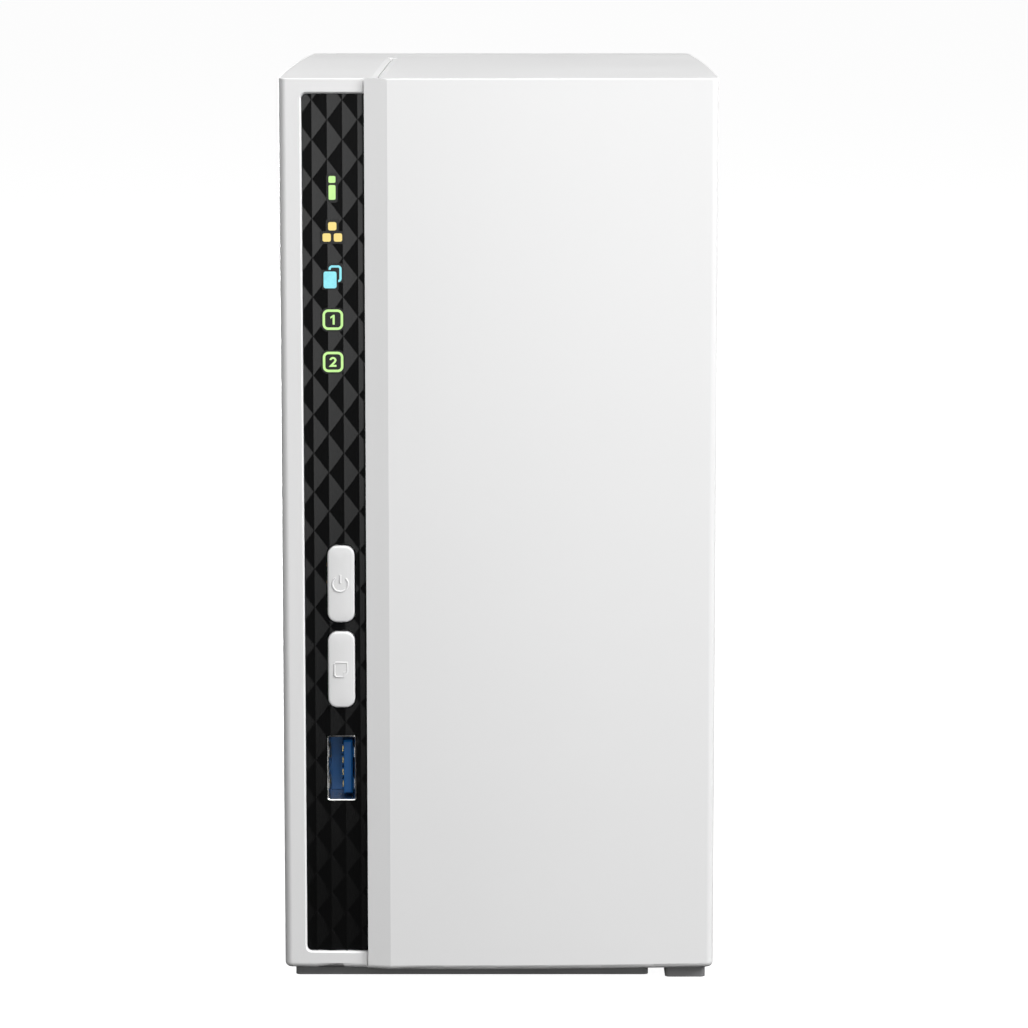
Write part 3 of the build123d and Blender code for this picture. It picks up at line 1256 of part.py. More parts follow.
# ---------------------------------------------------------------- drive cage and backplane
# The cage's walls are separate sheets that stand on its floor.
bay_left = [cage_left + SHEET + step * bay_pitch for step in range(2)]
wall_left = [cage_left + step * bay_pitch for step in range(3)]
sata_y = drive_front + SATA_FROM_FRONT
cage_wall_z = CAGE_FLOOR_Z + SHEET
with BuildPart() as cage_floor:
    block((cage_left, cage_right), (cage_front, cage_back), (CAGE_FLOOR_Z, cage_wall_z))
    for x, y in cage_spots:
        round_bar(upward(x, y, CAGE_FLOOR_Z), screw_hole, SHEET, Mode.SUBTRACT)
    for bay_x in bay_left:
        drive_x = bay_x + TRAY_GAP + TRAY_WEB + TRAY_SEAT
        middle_x = drive_x + DRIVE_THICKNESS / 2
        block(
            (middle_x - SATA_WIDTH / 2 - SLIP, middle_x + SATA_WIDTH / 2 + SLIP),
            (sata_y - SLIP, sata_y + SATA_LENGTH + SLIP),
            (CAGE_FLOOR_Z, cage_wall_z),
            Mode.SUBTRACT,
        )
finish(cage_floor, "cage_floor")

with BuildPart() as cage_walls:
    for wall_x in wall_left:
        wall_span_z = (cage_wall_z, CAGE_FLOOR_Z + CAGE_WALL_HEIGHT)
        block((wall_x, wall_x + SHEET), (cage_front, cage_back), wall_span_z)
    with BuildSketch(lengthways(cage_left - beyond)):
        with Locations(((cage_front + cage_back) / 2, CAGE_FLOOR_Z + CAGE_WALL_HEIGHT / 2)):
            with GridLocations(CAGE_WINDOW_PITCH, CAGE_WINDOW_PITCH, 3, 4):
                RectangleRounded(CAGE_WINDOW, CAGE_WINDOW, CAGE_WINDOW / 4)
    extrude(amount=cage_right - cage_left + 2 * beyond, mode=Mode.SUBTRACT)
finish(cage_walls, "cage_walls")

with BuildPart() as backplane_board:
    backplane_span_y = (backplane_front, backplane_back)
    block((backplane_left, backplane_right), backplane_span_y, (BACKPLANE_Z, BACKPLANE_Z + BOARD))
    for x, y in backplane_spots:
        round_bar(upward(x, y, BACKPLANE_Z), screw_hole, BOARD, Mode.SUBTRACT)
finish(backplane_board, "backplane_board")

# sockets on the mainboard: one grips the backplane's edge, and one takes the fan lead's plug
with BuildPart() as board_connectors:
    slot_span_y = (backplane_front + SLOT_MARGIN, backplane_back - SLOT_MARGIN)
    block(
        (board_face, backplane_left + SLOT_GRIP),
        slot_span_y,
        (BACKPLANE_Z - SLOT_WALL, BACKPLANE_Z + BOARD + SLOT_WALL),
    )
    block(
        (backplane_left, backplane_left + SLOT_GRIP),
        slot_span_y,
        (BACKPLANE_Z, BACKPLANE_Z + BOARD),
        Mode.SUBTRACT,
    )
    block(
        (board_face, board_face + HEADER_SIZE),
        (header_y - HEADER_SIZE / 2, header_y + HEADER_SIZE / 2),
        (header_top - HEADER_SIZE, header_top),
    )
finish(board_connectors, "board_connectors")

with BuildPart() as sata_connectors:
    for bay_x in bay_left:
        middle_x = bay_x + TRAY_GAP + TRAY_WEB + TRAY_SEAT + DRIVE_THICKNESS / 2
        span_y = (sata_y, sata_y + SATA_LENGTH)
        top_z = DRIVE_BASE - SEAT
        block((middle_x - SATA_WIDTH / 2, middle_x + SATA_WIDTH / 2), span_y, (BACKPLANE_Z + BOARD, top_z))
        block(
            (middle_x - SATA_BLADE, middle_x + SATA_BLADE),
            (sata_y + SATA_BLADE, sata_y + SATA_LENGTH - SATA_BLADE),
            (top_z - SATA_WIDTH / 2, top_z),
            Mode.SUBTRACT,
        )
finish(sata_connectors, "sata_connectors")

# ---------------------------------------------------------------- drives and their trays
side_screw_z = [DRIVE_BASE + z for z in DRIVE_SIDE_HOLES]
for number, bay_x in enumerate(bay_left, start=1):
    tray_x = bay_x + TRAY_GAP
    drive_x = tray_x + TRAY_WEB + TRAY_SEAT
    drive_end = drive_x + DRIVE_THICKNESS
    side_x = drive_x + DRIVE_SIDE_HOLE_X
    lid_x = drive_x + DRIVE_LID
    recess_x = drive_end - DRIVE_BOARD

    with BuildPart() as drive_case:
        block((lid_x, drive_end), (drive_front, drive_back), (DRIVE_BASE, drive_top))
        fillet(drive_case.edges().filter_by(Axis.X), DRIVE_CORNER)
        block(
            (recess_x, drive_end + beyond),
            (drive_front + DRIVE_RIM, drive_back - DRIVE_RIM),
            (DRIVE_BASE - beyond, DRIVE_BASE + DRIVE_BOARD_LENGTH),
            Mode.SUBTRACT,
        )
        round_bar(
            rightward(drive_end - DRIVE_BOARD, drive_middle_y, DRIVE_BASE + DRIVE_BOARD_LENGTH),
            DRIVE_MOTOR_RADIUS,
            DRIVE_BOARD,
            Mode.SUBTRACT,
        )
        for z in side_screw_z:
            round_bar(backward(side_x, drive_front, z), screw_hole, SCREW_LENGTH, Mode.SUBTRACT)
            round_bar(forward(side_x, drive_back, z), screw_hole, SCREW_LENGTH, Mode.SUBTRACT)
    finish(drive_case, f"drive_{number}_case")

    with BuildPart() as drive_lid:
        block(
            (drive_x, lid_x),
            (drive_front + DRIVE_RIM, drive_back - DRIVE_RIM),
            (DRIVE_BASE + DRIVE_RIM, drive_top - DRIVE_RIM),
        )
        fillet(drive_lid.edges().filter_by(Axis.X), DRIVE_LID_CORNER)
    finish(drive_lid, f"drive_{number}_lid")

    with BuildPart() as drive_board:
        block(
            (recess_x, drive_end),
            (drive_front + DRIVE_RIM + SEAT, drive_back - DRIVE_RIM - SEAT),
            (DRIVE_BASE, DRIVE_BASE + DRIVE_BOARD_LENGTH - DRIVE_MOTOR_RADIUS - SEAT),
        )
    finish(drive_board, f"drive_{number}_board")

    with BuildPart() as drive_tray:
        tray_front = drive_front - TRAY_SEAT - TRAY_WEB
        tray_back = drive_back + TRAY_SEAT + TRAY_WEB
        tray_span_z = (DRIVE_BASE - TRAY_SEAT, drive_top + TRAY_RISE)
        block((tray_x, tray_x + TRAY_WEB), (tray_front, tray_back), tray_span_z)
        block((tray_x, tray_x + TRAY_FLANGE), (tray_front, tray_front + TRAY_WEB), tray_span_z)
        block((tray_x, tray_x + TRAY_FLANGE), (tray_back - TRAY_WEB, tray_back), tray_span_z)
        for z in side_screw_z:
            round_bar(backward(side_x, tray_front, z), screw_hole, TRAY_WEB, Mode.SUBTRACT)
            round_bar(forward(side_x, tray_back, z), screw_hole, TRAY_WEB, Mode.SUBTRACT)
    finish(drive_tray, f"drive_{number}_tray")

with BuildPart() as tray_screws:
    for bay_x in bay_left:
        side_x = bay_x + TRAY_GAP + TRAY_WEB + TRAY_SEAT + DRIVE_SIDE_HOLE_X
        for z in side_screw_z:
            screw(forward(side_x, tray_front, z), TRAY_SCREW)
            screw(backward(side_x, tray_back, z), TRAY_SCREW)
finish(tray_screws, "tray_screws")

# ---------------------------------------------------------------- feet
cover_foot_right = right - COVER_FOOT_INSET
cover_foot_left = cover_foot_right - COVER_FOOT_WIDTH
foot_front = front + FOOT_INSET_FRONT
long_foot_left = left + FOOT_INSET_SIDE
long_foot_right = cover_foot_left - FOOT_SPLIT_GAP
with BuildPart() as base_feet:
    with BuildSketch():
        with Locations(((long_foot_left + long_foot_right) / 2, foot_front + FOOT_DEPTH / 2)):
            RectangleRounded(long_foot_right - long_foot_left, FOOT_DEPTH, FOOT_CORNER)
        with Locations(((long_foot_left + cover_foot_right) / 2, back - FOOT_INSET_FRONT - FOOT_DEPTH / 2)):
            RectangleRounded(cover_foot_right - long_foot_left, FOOT_DEPTH, FOOT_CORNER)
    extrude(amount=FOOT_HEIGHT)
finish(base_feet, "base_feet")

with BuildPart() as cover_foot:
    with BuildSketch():
        foot_middle_x = (cover_foot_left + cover_foot_right) / 2
        with Locations((foot_middle_x, foot_front - COVER_FOOT_FORWARD + FOOT_DEPTH / 2)):
            RectangleRounded(COVER_FOOT_WIDTH, FOOT_DEPTH, FOOT_CORNER)
    extrude(amount=FOOT_HEIGHT)
finish(cover_foot, "cover_foot")
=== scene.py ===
import json
import math

import bmesh
import bpy
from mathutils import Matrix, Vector


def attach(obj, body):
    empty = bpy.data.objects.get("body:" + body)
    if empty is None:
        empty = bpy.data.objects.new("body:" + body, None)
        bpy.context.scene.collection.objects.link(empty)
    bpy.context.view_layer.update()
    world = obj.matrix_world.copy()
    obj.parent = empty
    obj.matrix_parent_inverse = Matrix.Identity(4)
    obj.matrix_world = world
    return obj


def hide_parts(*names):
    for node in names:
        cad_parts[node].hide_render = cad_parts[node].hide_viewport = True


# Two-bay network attached storage unit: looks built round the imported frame.
# Metres, in the frame of the CAD part. MM turns the millimetres used below into metres.
MM = 0.001

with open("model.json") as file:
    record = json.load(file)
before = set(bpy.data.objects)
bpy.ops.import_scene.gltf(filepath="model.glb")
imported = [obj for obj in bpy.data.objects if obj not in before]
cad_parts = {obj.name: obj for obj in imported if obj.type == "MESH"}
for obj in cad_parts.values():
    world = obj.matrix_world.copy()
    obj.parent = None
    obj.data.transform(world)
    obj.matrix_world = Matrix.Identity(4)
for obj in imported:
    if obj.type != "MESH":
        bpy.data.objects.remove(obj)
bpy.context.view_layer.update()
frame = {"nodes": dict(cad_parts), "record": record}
NODES = frame["nodes"]


# ---------------------------------------------------------------- shader helpers
class Shader:
    """A node material under construction."""

    def __init__(self, name):
        self.material = bpy.data.materials.new(name)
        self.material.use_nodes = True
        self.tree = self.material.node_tree
        self.tree.nodes.clear()
        self.output = self.tree.nodes.new("ShaderNodeOutputMaterial")
        self.surface = self.tree.nodes.new("ShaderNodeBsdfPrincipled")
        self.link(self.surface.outputs["BSDF"], self.output.inputs["Surface"])
        self.place = self.tree.nodes.new("ShaderNodeTexCoord").outputs["Object"]

    def link(self, source, target):
        self.tree.links.new(source, target)

    def set(self, **values):
        for key, value in values.items():
            self.surface.inputs[key.replace("_", " ")].default_value = value

    def stretched(self, scale):
        """Object coordinates stretched along the axes."""
        mapping = self.tree.nodes.new("ShaderNodeMapping")
        mapping.inputs["Scale"].default_value = scale
        self.link(self.place, mapping.inputs["Vector"])
        return mapping.outputs["Vector"]

    def noise(self, scale, detail=4.0, rough=0.55, where=None, warp=0.0):
        node = self.tree.nodes.new("ShaderNodeTexNoise")
        node.inputs["Scale"].default_value = scale
        node.inputs["Detail"].default_value = detail
        node.inputs["Roughness"].default_value = rough
        node.inputs["Distortion"].default_value = warp
        self.link(where or self.place, node.inputs["Vector"])
        return node.outputs["Fac"]

    def cells(self, scale, output="Distance", where=None, feature="F1"):
        node = self.tree.nodes.new("ShaderNodeTexVoronoi")
        node.feature = feature
        node.inputs["Scale"].default_value = scale
        self.link(where or self.place, node.inputs["Vector"])
        return node.outputs[output]

    def spread(self, value, low, high, start=0.3, end=0.7):
        """Maps a texture's middle range onto low to high."""
        node = self.tree.nodes.new("ShaderNodeMapRange")
        node.inputs["From Min"].default_value = start
        node.inputs["From Max"].default_value = end
        node.inputs["To Min"].default_value = low
        node.inputs["To Max"].default_value = high
        self.link(value, node.inputs["Value"])
        return node.outputs["Result"]

    def math(self, kind, a, b):
        node = self.tree.nodes.new("ShaderNodeMath")
        node.operation = kind
        for slot, value in enumerate((a, b)):
            if isinstance(value, (int, float)):
                node.inputs[slot].default_value = value
            else:
                self.link(value, node.inputs[slot])
        return node.outputs["Value"]

    def ramp(self, value, *stops):
        """Colours picked by a value: each stop is a place and a colour."""
        node = self.tree.nodes.new("ShaderNodeValToRGB")
        points = node.color_ramp.elements
        while len(points) < len(stops):
            points.new(0.5)
        for point, (where, colour) in zip(points, stops):
            point.position = where
            point.color = (*colour, 1)
        self.link(value, node.inputs["Fac"])
        return node.outputs["Color"]

    def blend(self, a, b, share):
        """Weighted mean of two values: that share of a, and the rest of b."""
        return self.math("ADD", self.math("MULTIPLY", a, share), self.math("MULTIPLY", b, 1 - share))

    def mix(self, amount, a, b):
        node = self.tree.nodes.new("ShaderNodeMix")
        node.data_type = "RGBA"
        if isinstance(amount, (int, float)):
            node.inputs[0].default_value = amount
        else:
            self.link(amount, node.inputs[0])
        for slot, value in ((6, a), (7, b)):
            if isinstance(value, tuple):
                node.inputs[slot].default_value = (*value, 1)
            else:
                self.link(value, node.inputs[slot])
        return node.outputs[2]

    def edges(self, low, high):
        """1 on worn outer edges and 0 elsewhere."""
        geometry = self.tree.nodes.new("ShaderNodeNewGeometry")
        return self.spread(geometry.outputs["Pointiness"], 0.0, 1.0, low, high)

    def colour(self, value):
        self.link(value, self.surface.inputs["Base Color"])

    def roughness(self, value):
        self.link(value, self.surface.inputs["Roughness"])

    def bump(self, *layers):
        """Stacks layers of (height, depth in metres)."""
        before = None
        for height, depth in layers:
            node = self.tree.nodes.new("ShaderNodeBump")
            node.inputs["Strength"].default_value = 1.0
            node.inputs["Distance"].default_value = depth
            self.link(height, node.inputs["Height"])
            if before:
                self.link(before, node.inputs["Normal"])
            before = node.outputs["Normal"]
        self.link(before, self.surface.inputs["Normal"])


def tint(colour, factor):
    """A colour made lighter or darker by a factor."""
    return tuple(min(1.0, channel * factor) for channel in colour)


def moulded(name, colour, low, high, grain=2600.0, depth=0.006, specular=0.5, variety=0.03, coat=0.0):
    """Moulded plastic: spark-eroded grain, faint mottling and flow marks, and roughness that wanders."""
    shader = Shader(name)
    broad = shader.noise(38.0, 3.0)
    fine = shader.noise(grain, 2.0, 0.6)
    flow = shader.noise(9.0, 2.0, 0.5, shader.stretched((1.0, 1.0, 0.25)), 1.5)
    shader.colour(shader.ramp(broad, (0.3, tint(colour, 1 - variety)), (0.7, tint(colour, 1 + variety))))
    shader.roughness(shader.spread(shader.blend(fine, broad, 0.5), low, high))
    shader.bump((fine, depth * MM), (flow, depth * 1.5 * MM))
    shader.set(Specular_IOR_Level=specular, Coat_Weight=coat, Coat_Roughness=0.2)
    return shader.material


def metal(name, colour, low, high, brushed=None, grain=900.0, depth=0.004, wear=0.15):
    """Bare or plated metal, brushed along an axis if one is given."""
    shader = Shader(name)
    where = shader.stretched(brushed) if brushed else None
    streaks = shader.noise(grain, 4.0, 0.65, where)
    clouds = shader.noise(55.0, 3.0)
    body = shader.ramp(clouds, (0.3, tint(colour, 0.86)), (0.7, tint(colour, 1.08)))
    rubbed = shader.math("MULTIPLY", shader.edges(0.52, 0.6), wear)
    shader.colour(shader.mix(rubbed, body, tint(colour, 1.35)))
    shader.roughness(shader.spread(shader.blend(streaks, clouds, 0.6), low, high))
    shader.bump((streaks, depth * MM))
    shader.set(Metallic=1.0)
    return shader.material


def lamp(name, colour, deep, power):
    """Lit icon: glow that wanders between a deeper and a brighter colour, with a faint grain in the film.
    """
    shader = Shader(name)
    cloud = shader.noise(420.0, 3.0)
    grain = shader.noise(3200.0, 2.0)
    glow = shader.ramp(shader.blend(cloud, grain, 0.7), (0.3, deep), (0.65, colour))
    shader.link(glow, shader.surface.inputs["Emission Color"])
    shader.roughness(shader.spread(grain, 0.28, 0.42))
    shader.bump((grain, 0.003 * MM))
    shader.set(Base_Color=(0.03, 0.03, 0.03, 1), Emission_Strength=power)
    return shader.material


def steel_sheet(name, colour, low, high):
    """Zinc-coated sheet with its crystal spangle."""
    shader = Shader(name)
    spangle = shader.cells(95.0, "Color")
    split = shader.tree.nodes.new("ShaderNodeSeparateColor")
    shader.link(spangle, split.inputs["Color"])
    grain = shader.noise(700.0, 3.0)
    shader.colour(shader.ramp(split.outputs["Red"], (0.0, tint(colour, 0.86)), (1.0, tint(colour, 1.1))))
    shader.roughness(shader.spread(shader.blend(split.outputs["Green"], grain, 0.5), low, high, 0.2, 0.8))
    shader.bump((grain, 0.004 * MM), (split.outputs["Blue"], 0.006 * MM))
    shader.set(Metallic=1.0)
    return shader.material


def circuit(name, mask, copper):
    """Circuit board: lacquer over copper tracks that run along the board, with plated vias."""
    shader = Shader(name)
    lanes = shader.tree.nodes.new("ShaderNodeTexBrick")
    lanes.inputs["Scale"].default_value = 210.0
    lanes.inputs["Mortar Size"].default_value = 0.05
    lanes.inputs["Brick Width"].default_value = 3.2
    lanes.inputs["Row Height"].default_value = 0.28
    lanes.offset = 0.37
    turned = shader.tree.nodes.new("ShaderNodeMapping")
    turned.inputs["Rotation"].default_value = (0.0, math.radians(90), math.radians(90))
    shader.link(shader.place, turned.inputs["Vector"])
    shader.link(turned.outputs["Vector"], lanes.inputs["Vector"])
    tracks = lanes.outputs["Fac"]
    regions = shader.spread(shader.noise(70.0, 2.0, 0.5), 0.0, 1.0, 0.48, 0.52)
    vias = shader.spread(shader.cells(330.0), 1.0, 0.0, 0.12, 0.16)
    clouds = shader.noise(60.0, 3.0)
    lacquer = shader.ramp(clouds, (0.3, tint(mask, 0.8)), (0.7, tint(mask, 1.15)))
    raised = shader.math("MULTIPLY", tracks, regions)
    tracked = shader.mix(raised, tint(mask, 1.7), lacquer)
    shader.colour(shader.mix(shader.math("MULTIPLY", vias, 0.75), tracked, copper))
    shader.roughness(shader.spread(shader.noise(500.0, 2.0), 0.3, 0.45))
    shader.bump((raised, 0.02 * MM), (shader.noise(900.0, 3.0), 0.004 * MM))
    shader.set(Specular_IOR_Level=0.55)
    return shader.material


def clear_plastic(name):
    """Clear plastic with a faint ripple in it."""
    shader = Shader(name)
    ripple = shader.noise(300.0, 3.0)
    shader.colour(shader.ramp(ripple, (0.3, (0.80, 0.84, 0.85)), (0.7, (0.93, 0.96, 0.97))))
    shader.roughness(shader.spread(ripple, 0.06, 0.18))
    shader.bump((ripple, 0.01 * MM))
    shader.set(Transmission_Weight=0.85, IOR=1.49)
    return shader.material


# ---------------------------------------------------------------- materials of the record's slots
PAINT = {
    "white_casing": moulded("white_casing", (0.83, 0.83, 0.83), 0.4, 0.5, 2400.0, 0.004, 0.35, 0.006),
    "white_button": moulded("white_button", (0.78, 0.78, 0.78), 0.42, 0.52, 2800.0, 0.003, 0.35, 0.01),
    "black_panel": moulded("black_panel", (0.0038, 0.0039, 0.0041), 0.22, 0.27, 3000.0, 0.001, 0.2, 0.1),
    "foot_rubber": moulded("foot_rubber", (0.26, 0.26, 0.262), 0.72, 0.9, 1500.0, 0.03, 0.3, 0.12),
    "switch_black": moulded("switch_black", (0.02, 0.02, 0.021), 0.42, 0.58, 2200.0, 0.006, 0.4, 0.1),
    "socket_black": moulded("socket_black", (0.013, 0.013, 0.014), 0.38, 0.52, 2400.0, 0.005, 0.45, 0.1),
    "socket_blue": moulded("socket_blue", (0.004, 0.075, 0.24), 0.34, 0.46, 2400.0, 0.002, 0.35, 0.08),
    "connector_white": moulded("connector_white", (0.72, 0.70, 0.64), 0.42, 0.55, 2000.0, 0.006, 0.4, 0.04),
    "chip_black": moulded("chip_black", (0.022, 0.022, 0.024), 0.5, 0.66, 3400.0, 0.01, 0.35, 0.12),
    "fan_plastic": moulded("fan_plastic", (0.018, 0.018, 0.019), 0.34, 0.5, 1800.0, 0.006, 0.45, 0.1),
    "lead_black": moulded("lead_black", (0.02, 0.02, 0.02), 0.4, 0.55, 1200.0, 0.01, 0.45, 0.1),
    "rear_paint": moulded("rear_paint", (0.028, 0.028, 0.03), 0.45, 0.6, 1700.0, 0.02, 0.4, 0.08),
    "lamp_white": moulded("lamp_white", (0.8, 0.79, 0.7), 0.3, 0.42, 2400.0, 0.004, 0.5, 0.03),
    "clear_guide": clear_plastic("clear_guide"),
    "green_light": lamp("green_light", (0.60, 0.96, 0.30), (0.46, 0.84, 0.25), 0.98),
    "amber_light": lamp("amber_light", (0.94, 0.74, 0.20), (0.88, 0.66, 0.17), 0.98),
    "blue_light": lamp("blue_light", (0.27, 0.88, 0.95), (0.17, 0.62, 0.76), 0.98),
    "socket_steel": metal("socket_steel", (0.76, 0.76, 0.75), 0.2, 0.3, (1.0, 0.2, 1.0), 500.0, 0.0004),
    "contact_gold": metal("contact_gold", (0.95, 0.70, 0.30), 0.2, 0.32, (1.0, 0.1, 1.0)),
    "screw_steel": metal("screw_steel", (0.60, 0.59, 0.57), 0.22, 0.38, None, 1400.0, 0.004, 0.4),
    "cell_steel": metal("cell_steel", (0.74, 0.74, 0.72), 0.2, 0.34, (1.0, 1.0, 0.1), 900.0),
    "sink_aluminium": metal(
        "sink_aluminium", (0.55, 0.56, 0.58), 0.34, 0.5, (1.0, 0.1, 1.0), 1100.0, 0.006, 0.3
    ),
    "shaft_steel": metal("shaft_steel", (0.66, 0.66, 0.66), 0.12, 0.22, (1.0, 0.1, 1.0)),
    "bearing_bronze": metal("bearing_bronze", (0.56, 0.36, 0.16), 0.34, 0.5, None, 1600.0, 0.01),
    "coil_copper": metal("coil_copper", (0.72, 0.34, 0.15), 0.24, 0.36, (1.0, 6.0, 1.0), 1500.0, 0.03),
    "drive_casting": metal("drive_casting", (0.40, 0.41, 0.42), 0.42, 0.6, None, 1300.0, 0.02, 0.35),
    "drive_cover": metal("drive_cover", (0.66, 0.67, 0.68), 0.22, 0.34, (1.0, 1.0, 0.06), 1400.0, 0.003),
    "sheet_steel": steel_sheet("sheet_steel", (0.60, 0.61, 0.62), 0.3, 0.46),
    "board_green": circuit("board_green", (0.010, 0.085, 0.035), (0.72, 0.52, 0.24)),
}
for row in frame["record"]["subparts"]:
    node = NODES[row["node"]]
    node.data.materials.clear()
    node.data.materials.append(PAINT[row["material_slot"]])

# ---------------------------------------------------------------- stage, light and camera
floor_mesh = bpy.data.meshes.new("floor")
REACH = 14.0
floor_corners = [(-REACH, -REACH, 0), (REACH, -REACH, 0), (REACH, REACH, 0), (-REACH, REACH, 0)]
floor_mesh.from_pydata(floor_corners, [], [(0, 1, 2, 3)])
floor = bpy.data.objects.new("floor", floor_mesh)
bpy.context.scene.collection.objects.link(floor)
pale = Shader("pale_floor")
pale.colour(pale.ramp(pale.noise(6.0, 2.0), (0.3, (0.40, 0.40, 0.40)), (0.7, (0.42, 0.42, 0.42))))
pale.set(Roughness=0.9, Specular_IOR_Level=0.1, Emission_Color=(1, 1, 1, 1), Emission_Strength=0.97)
floor_mesh.materials.append(pale.material)
floor.visible_glossy = False
floor.visible_diffuse = False

world = bpy.data.worlds.new("studio")
world.use_nodes = True
backdrop = world.node_tree.nodes["Background"]
backdrop.inputs["Color"].default_value = (1, 1, 1, 1)
seen = world.node_tree.nodes.new("ShaderNodeLightPath")
brightness = world.node_tree.nodes.new("ShaderNodeMapRange")
brightness.inputs["To Min"].default_value = 0.012
brightness.inputs["To Max"].default_value = 1.0
world.node_tree.links.new(seen.outputs["Is Camera Ray"], brightness.inputs["Value"])
world.node_tree.links.new(brightness.outputs["Result"], backdrop.inputs["Strength"])
bpy.context.scene.world = world


def softbox(name, place, target, size, power):
    """Rectangular light at a place, turned towards a target."""
    light = bpy.data.lights.new(name, "AREA")
    light.shape = "RECTANGLE"
    light.size, light.size_y = size
    light.energy = power
    lamp_object = bpy.data.objects.new(name, light)
    bpy.context.scene.collection.objects.link(lamp_object)
    lamp_object.location = place
    lamp_object.rotation_euler = (Vector(target) - Vector(place)).to_track_quat("-Z", "Y").to_euler()


MIDDLE = Vector((0.0, -0.05, 0.12))


def from_side(azimuth, elevation, distance=1.5):
    """Place that far from the middle of the unit: azimuth 0 is in front of it and 90 to its right."""
    a, e = math.radians(azimuth), math.radians(elevation)
    return MIDDLE + distance * Vector((math.sin(a) * math.cos(e), -math.cos(a) * math.cos(e), math.sin(e)))


softbox("key", from_side(65, 30), MIDDLE, (0.5, 0.5), 13.4)
softbox("key_high", from_side(45, 60), MIDDLE, (0.5, 0.5), 15.0)
softbox("front", from_side(-8, 3), MIDDLE, (0.5, 0.5), 1.13)
softbox("front_high", (0.02, -0.7, 0.45), (0.01, -0.07, 0.15), (0.35, 0.35), 1.66)
softbox("front_low", (0.10, -0.9, 0.12), (0.01, -0.07, 0.14), (0.3, 0.3), 1.48)
softbox("rear_left", from_side(205, 4), MIDDLE, (0.8, 0.8), 30.0)
softbox("rear_right", from_side(150, 5), MIDDLE, (0.8, 0.8), 6.0)
softbox("left_low", from_side(-97, -2), MIDDLE - Vector((0.0, 0.0, 0.06)), (0.5, 0.12), 1.6)

CAMERA_PLACE = (0.00311, -0.91845, 0.2206)
CAMERA_TILT = 81.77         # degrees up from looking straight down
FOCAL_LENGTH = 144.61       # millimetres, on a sensor 36 wide
lens = bpy.data.cameras.new("camera")
lens.sensor_width = 36.0
lens.lens = FOCAL_LENGTH
lens.clip_start = 0.01
lens.clip_end = 100.0
camera = bpy.data.objects.new("camera", lens)
camera.location = CAMERA_PLACE
camera.rotation_euler = (math.radians(CAMERA_TILT), 0.0, 0.0)
bpy.context.scene.collection.objects.link(camera)
bpy.context.scene.camera = camera
bpy.context.scene.view_settings.view_transform = "Standard"

# ---------------------------------------------------------------- sizes the pieces share, in millimetres
PANEL_FRONT = -75.56
PANEL_BACK = -73.56
PANEL_X = (-40.19, -25.40)
PANEL_Z = (6.29, 185.07)
PANEL_CORNER = 1.1
ICON_X = -34.0
STATUS_Z = 165.9
NETWORK_Z = 156.9
COPY_Z = 147.7
DRIVE_Z = (138.9, 130.2)
BUTTON_X = -32.64
BUTTON_Z = {"power": 84.12, "copy": 66.17}
BUTTON = (5.58, 15.91, 1.95)        # width, height and corner radius
BUTTON_GAP = 0.3
USB_X = -32.735
USB_Z = 45.25
USB = (6.13, 13.79)                 # width and height of the socket's mouth
USB_GAP = 0.1


# ---------------------------------------------------------------- mesh helpers
def new_piece(name, mesh, slot, body):
    """Object made of a mesh, in the paint of a material slot, that moves with a body."""
    piece = bpy.data.objects.new(name, mesh)
    bpy.context.scene.collection.objects.link(piece)
    mesh.materials.clear()
    mesh.materials.append(PAINT[slot])
    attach(piece, body)
    return piece


def mesh_from(bm, name):
    """Mesh in metres, made from a bmesh in millimetres."""
    bmesh.ops.recalc_face_normals(bm, faces=bm.faces[:])
    bmesh.ops.scale(bm, vec=(MM, MM, MM), verts=bm.verts[:])
    mesh = bpy.data.meshes.new(name)
    bm.to_mesh(mesh)
    bm.free()
    return mesh


def round_rect(x, z, width, height, radius, steps=8):
    """Outline of a rounded rectangle about (x, z), as points."""
    points = []
    for turn, (sx, sz) in enumerate(((1, 1), (-1, 1), (-1, -1), (1, -1))):
        cx, cz = x + sx * (width / 2 - radius), z + sz * (height / 2 - radius)
        for step in range(steps + 1):
            angle = math.radians(90 * turn + 90 * step / steps)
            points.append((cx + radius * math.cos(angle), cz + radius * math.sin(angle)))
    return points


def add_prism(bm, outline, y_low, y_high):
    """Adds the solid between two depths over an outline."""
    rings = [[bm.verts.new((x, y, z)) for x, z in outline] for y in (y_low, y_high)]
    count = len(outline)
    for k in range(count):
        after = (k + 1) % count
        bm.faces.new((rings[0][k], rings[0][after], rings[1][after], rings[1][k]))
    bm.faces.new(rings[0])
    bm.faces.new(reversed(rings[1]))


def add_rings(bm, rings):
    """Adds the solid skin through rings of equal length, capped at both ends."""
    made = [[bm.verts.new(point) for point in ring] for ring in rings]
    count = len(rings[0])
    for low, high in zip(made, made[1:]):
        for k in range(count):
            after = (k + 1) % count
            bm.faces.new((low[k], low[after], high[after], high[k]))
    bm.faces.new(made[0])
    bm.faces.new(reversed(made[-1]))


def add_loop(bm, rings):
    """Adds the skin through rings of equal length, with the last joined to the first."""
    made = [[bm.verts.new(point) for point in ring] for ring in rings]
    count = len(rings[0])
    for low, high in zip(made, made[1:] + made[:1]):
        for k in range(count):
            after = (k + 1) % count
            bm.faces.new((low[k], low[after], high[after], high[k]))


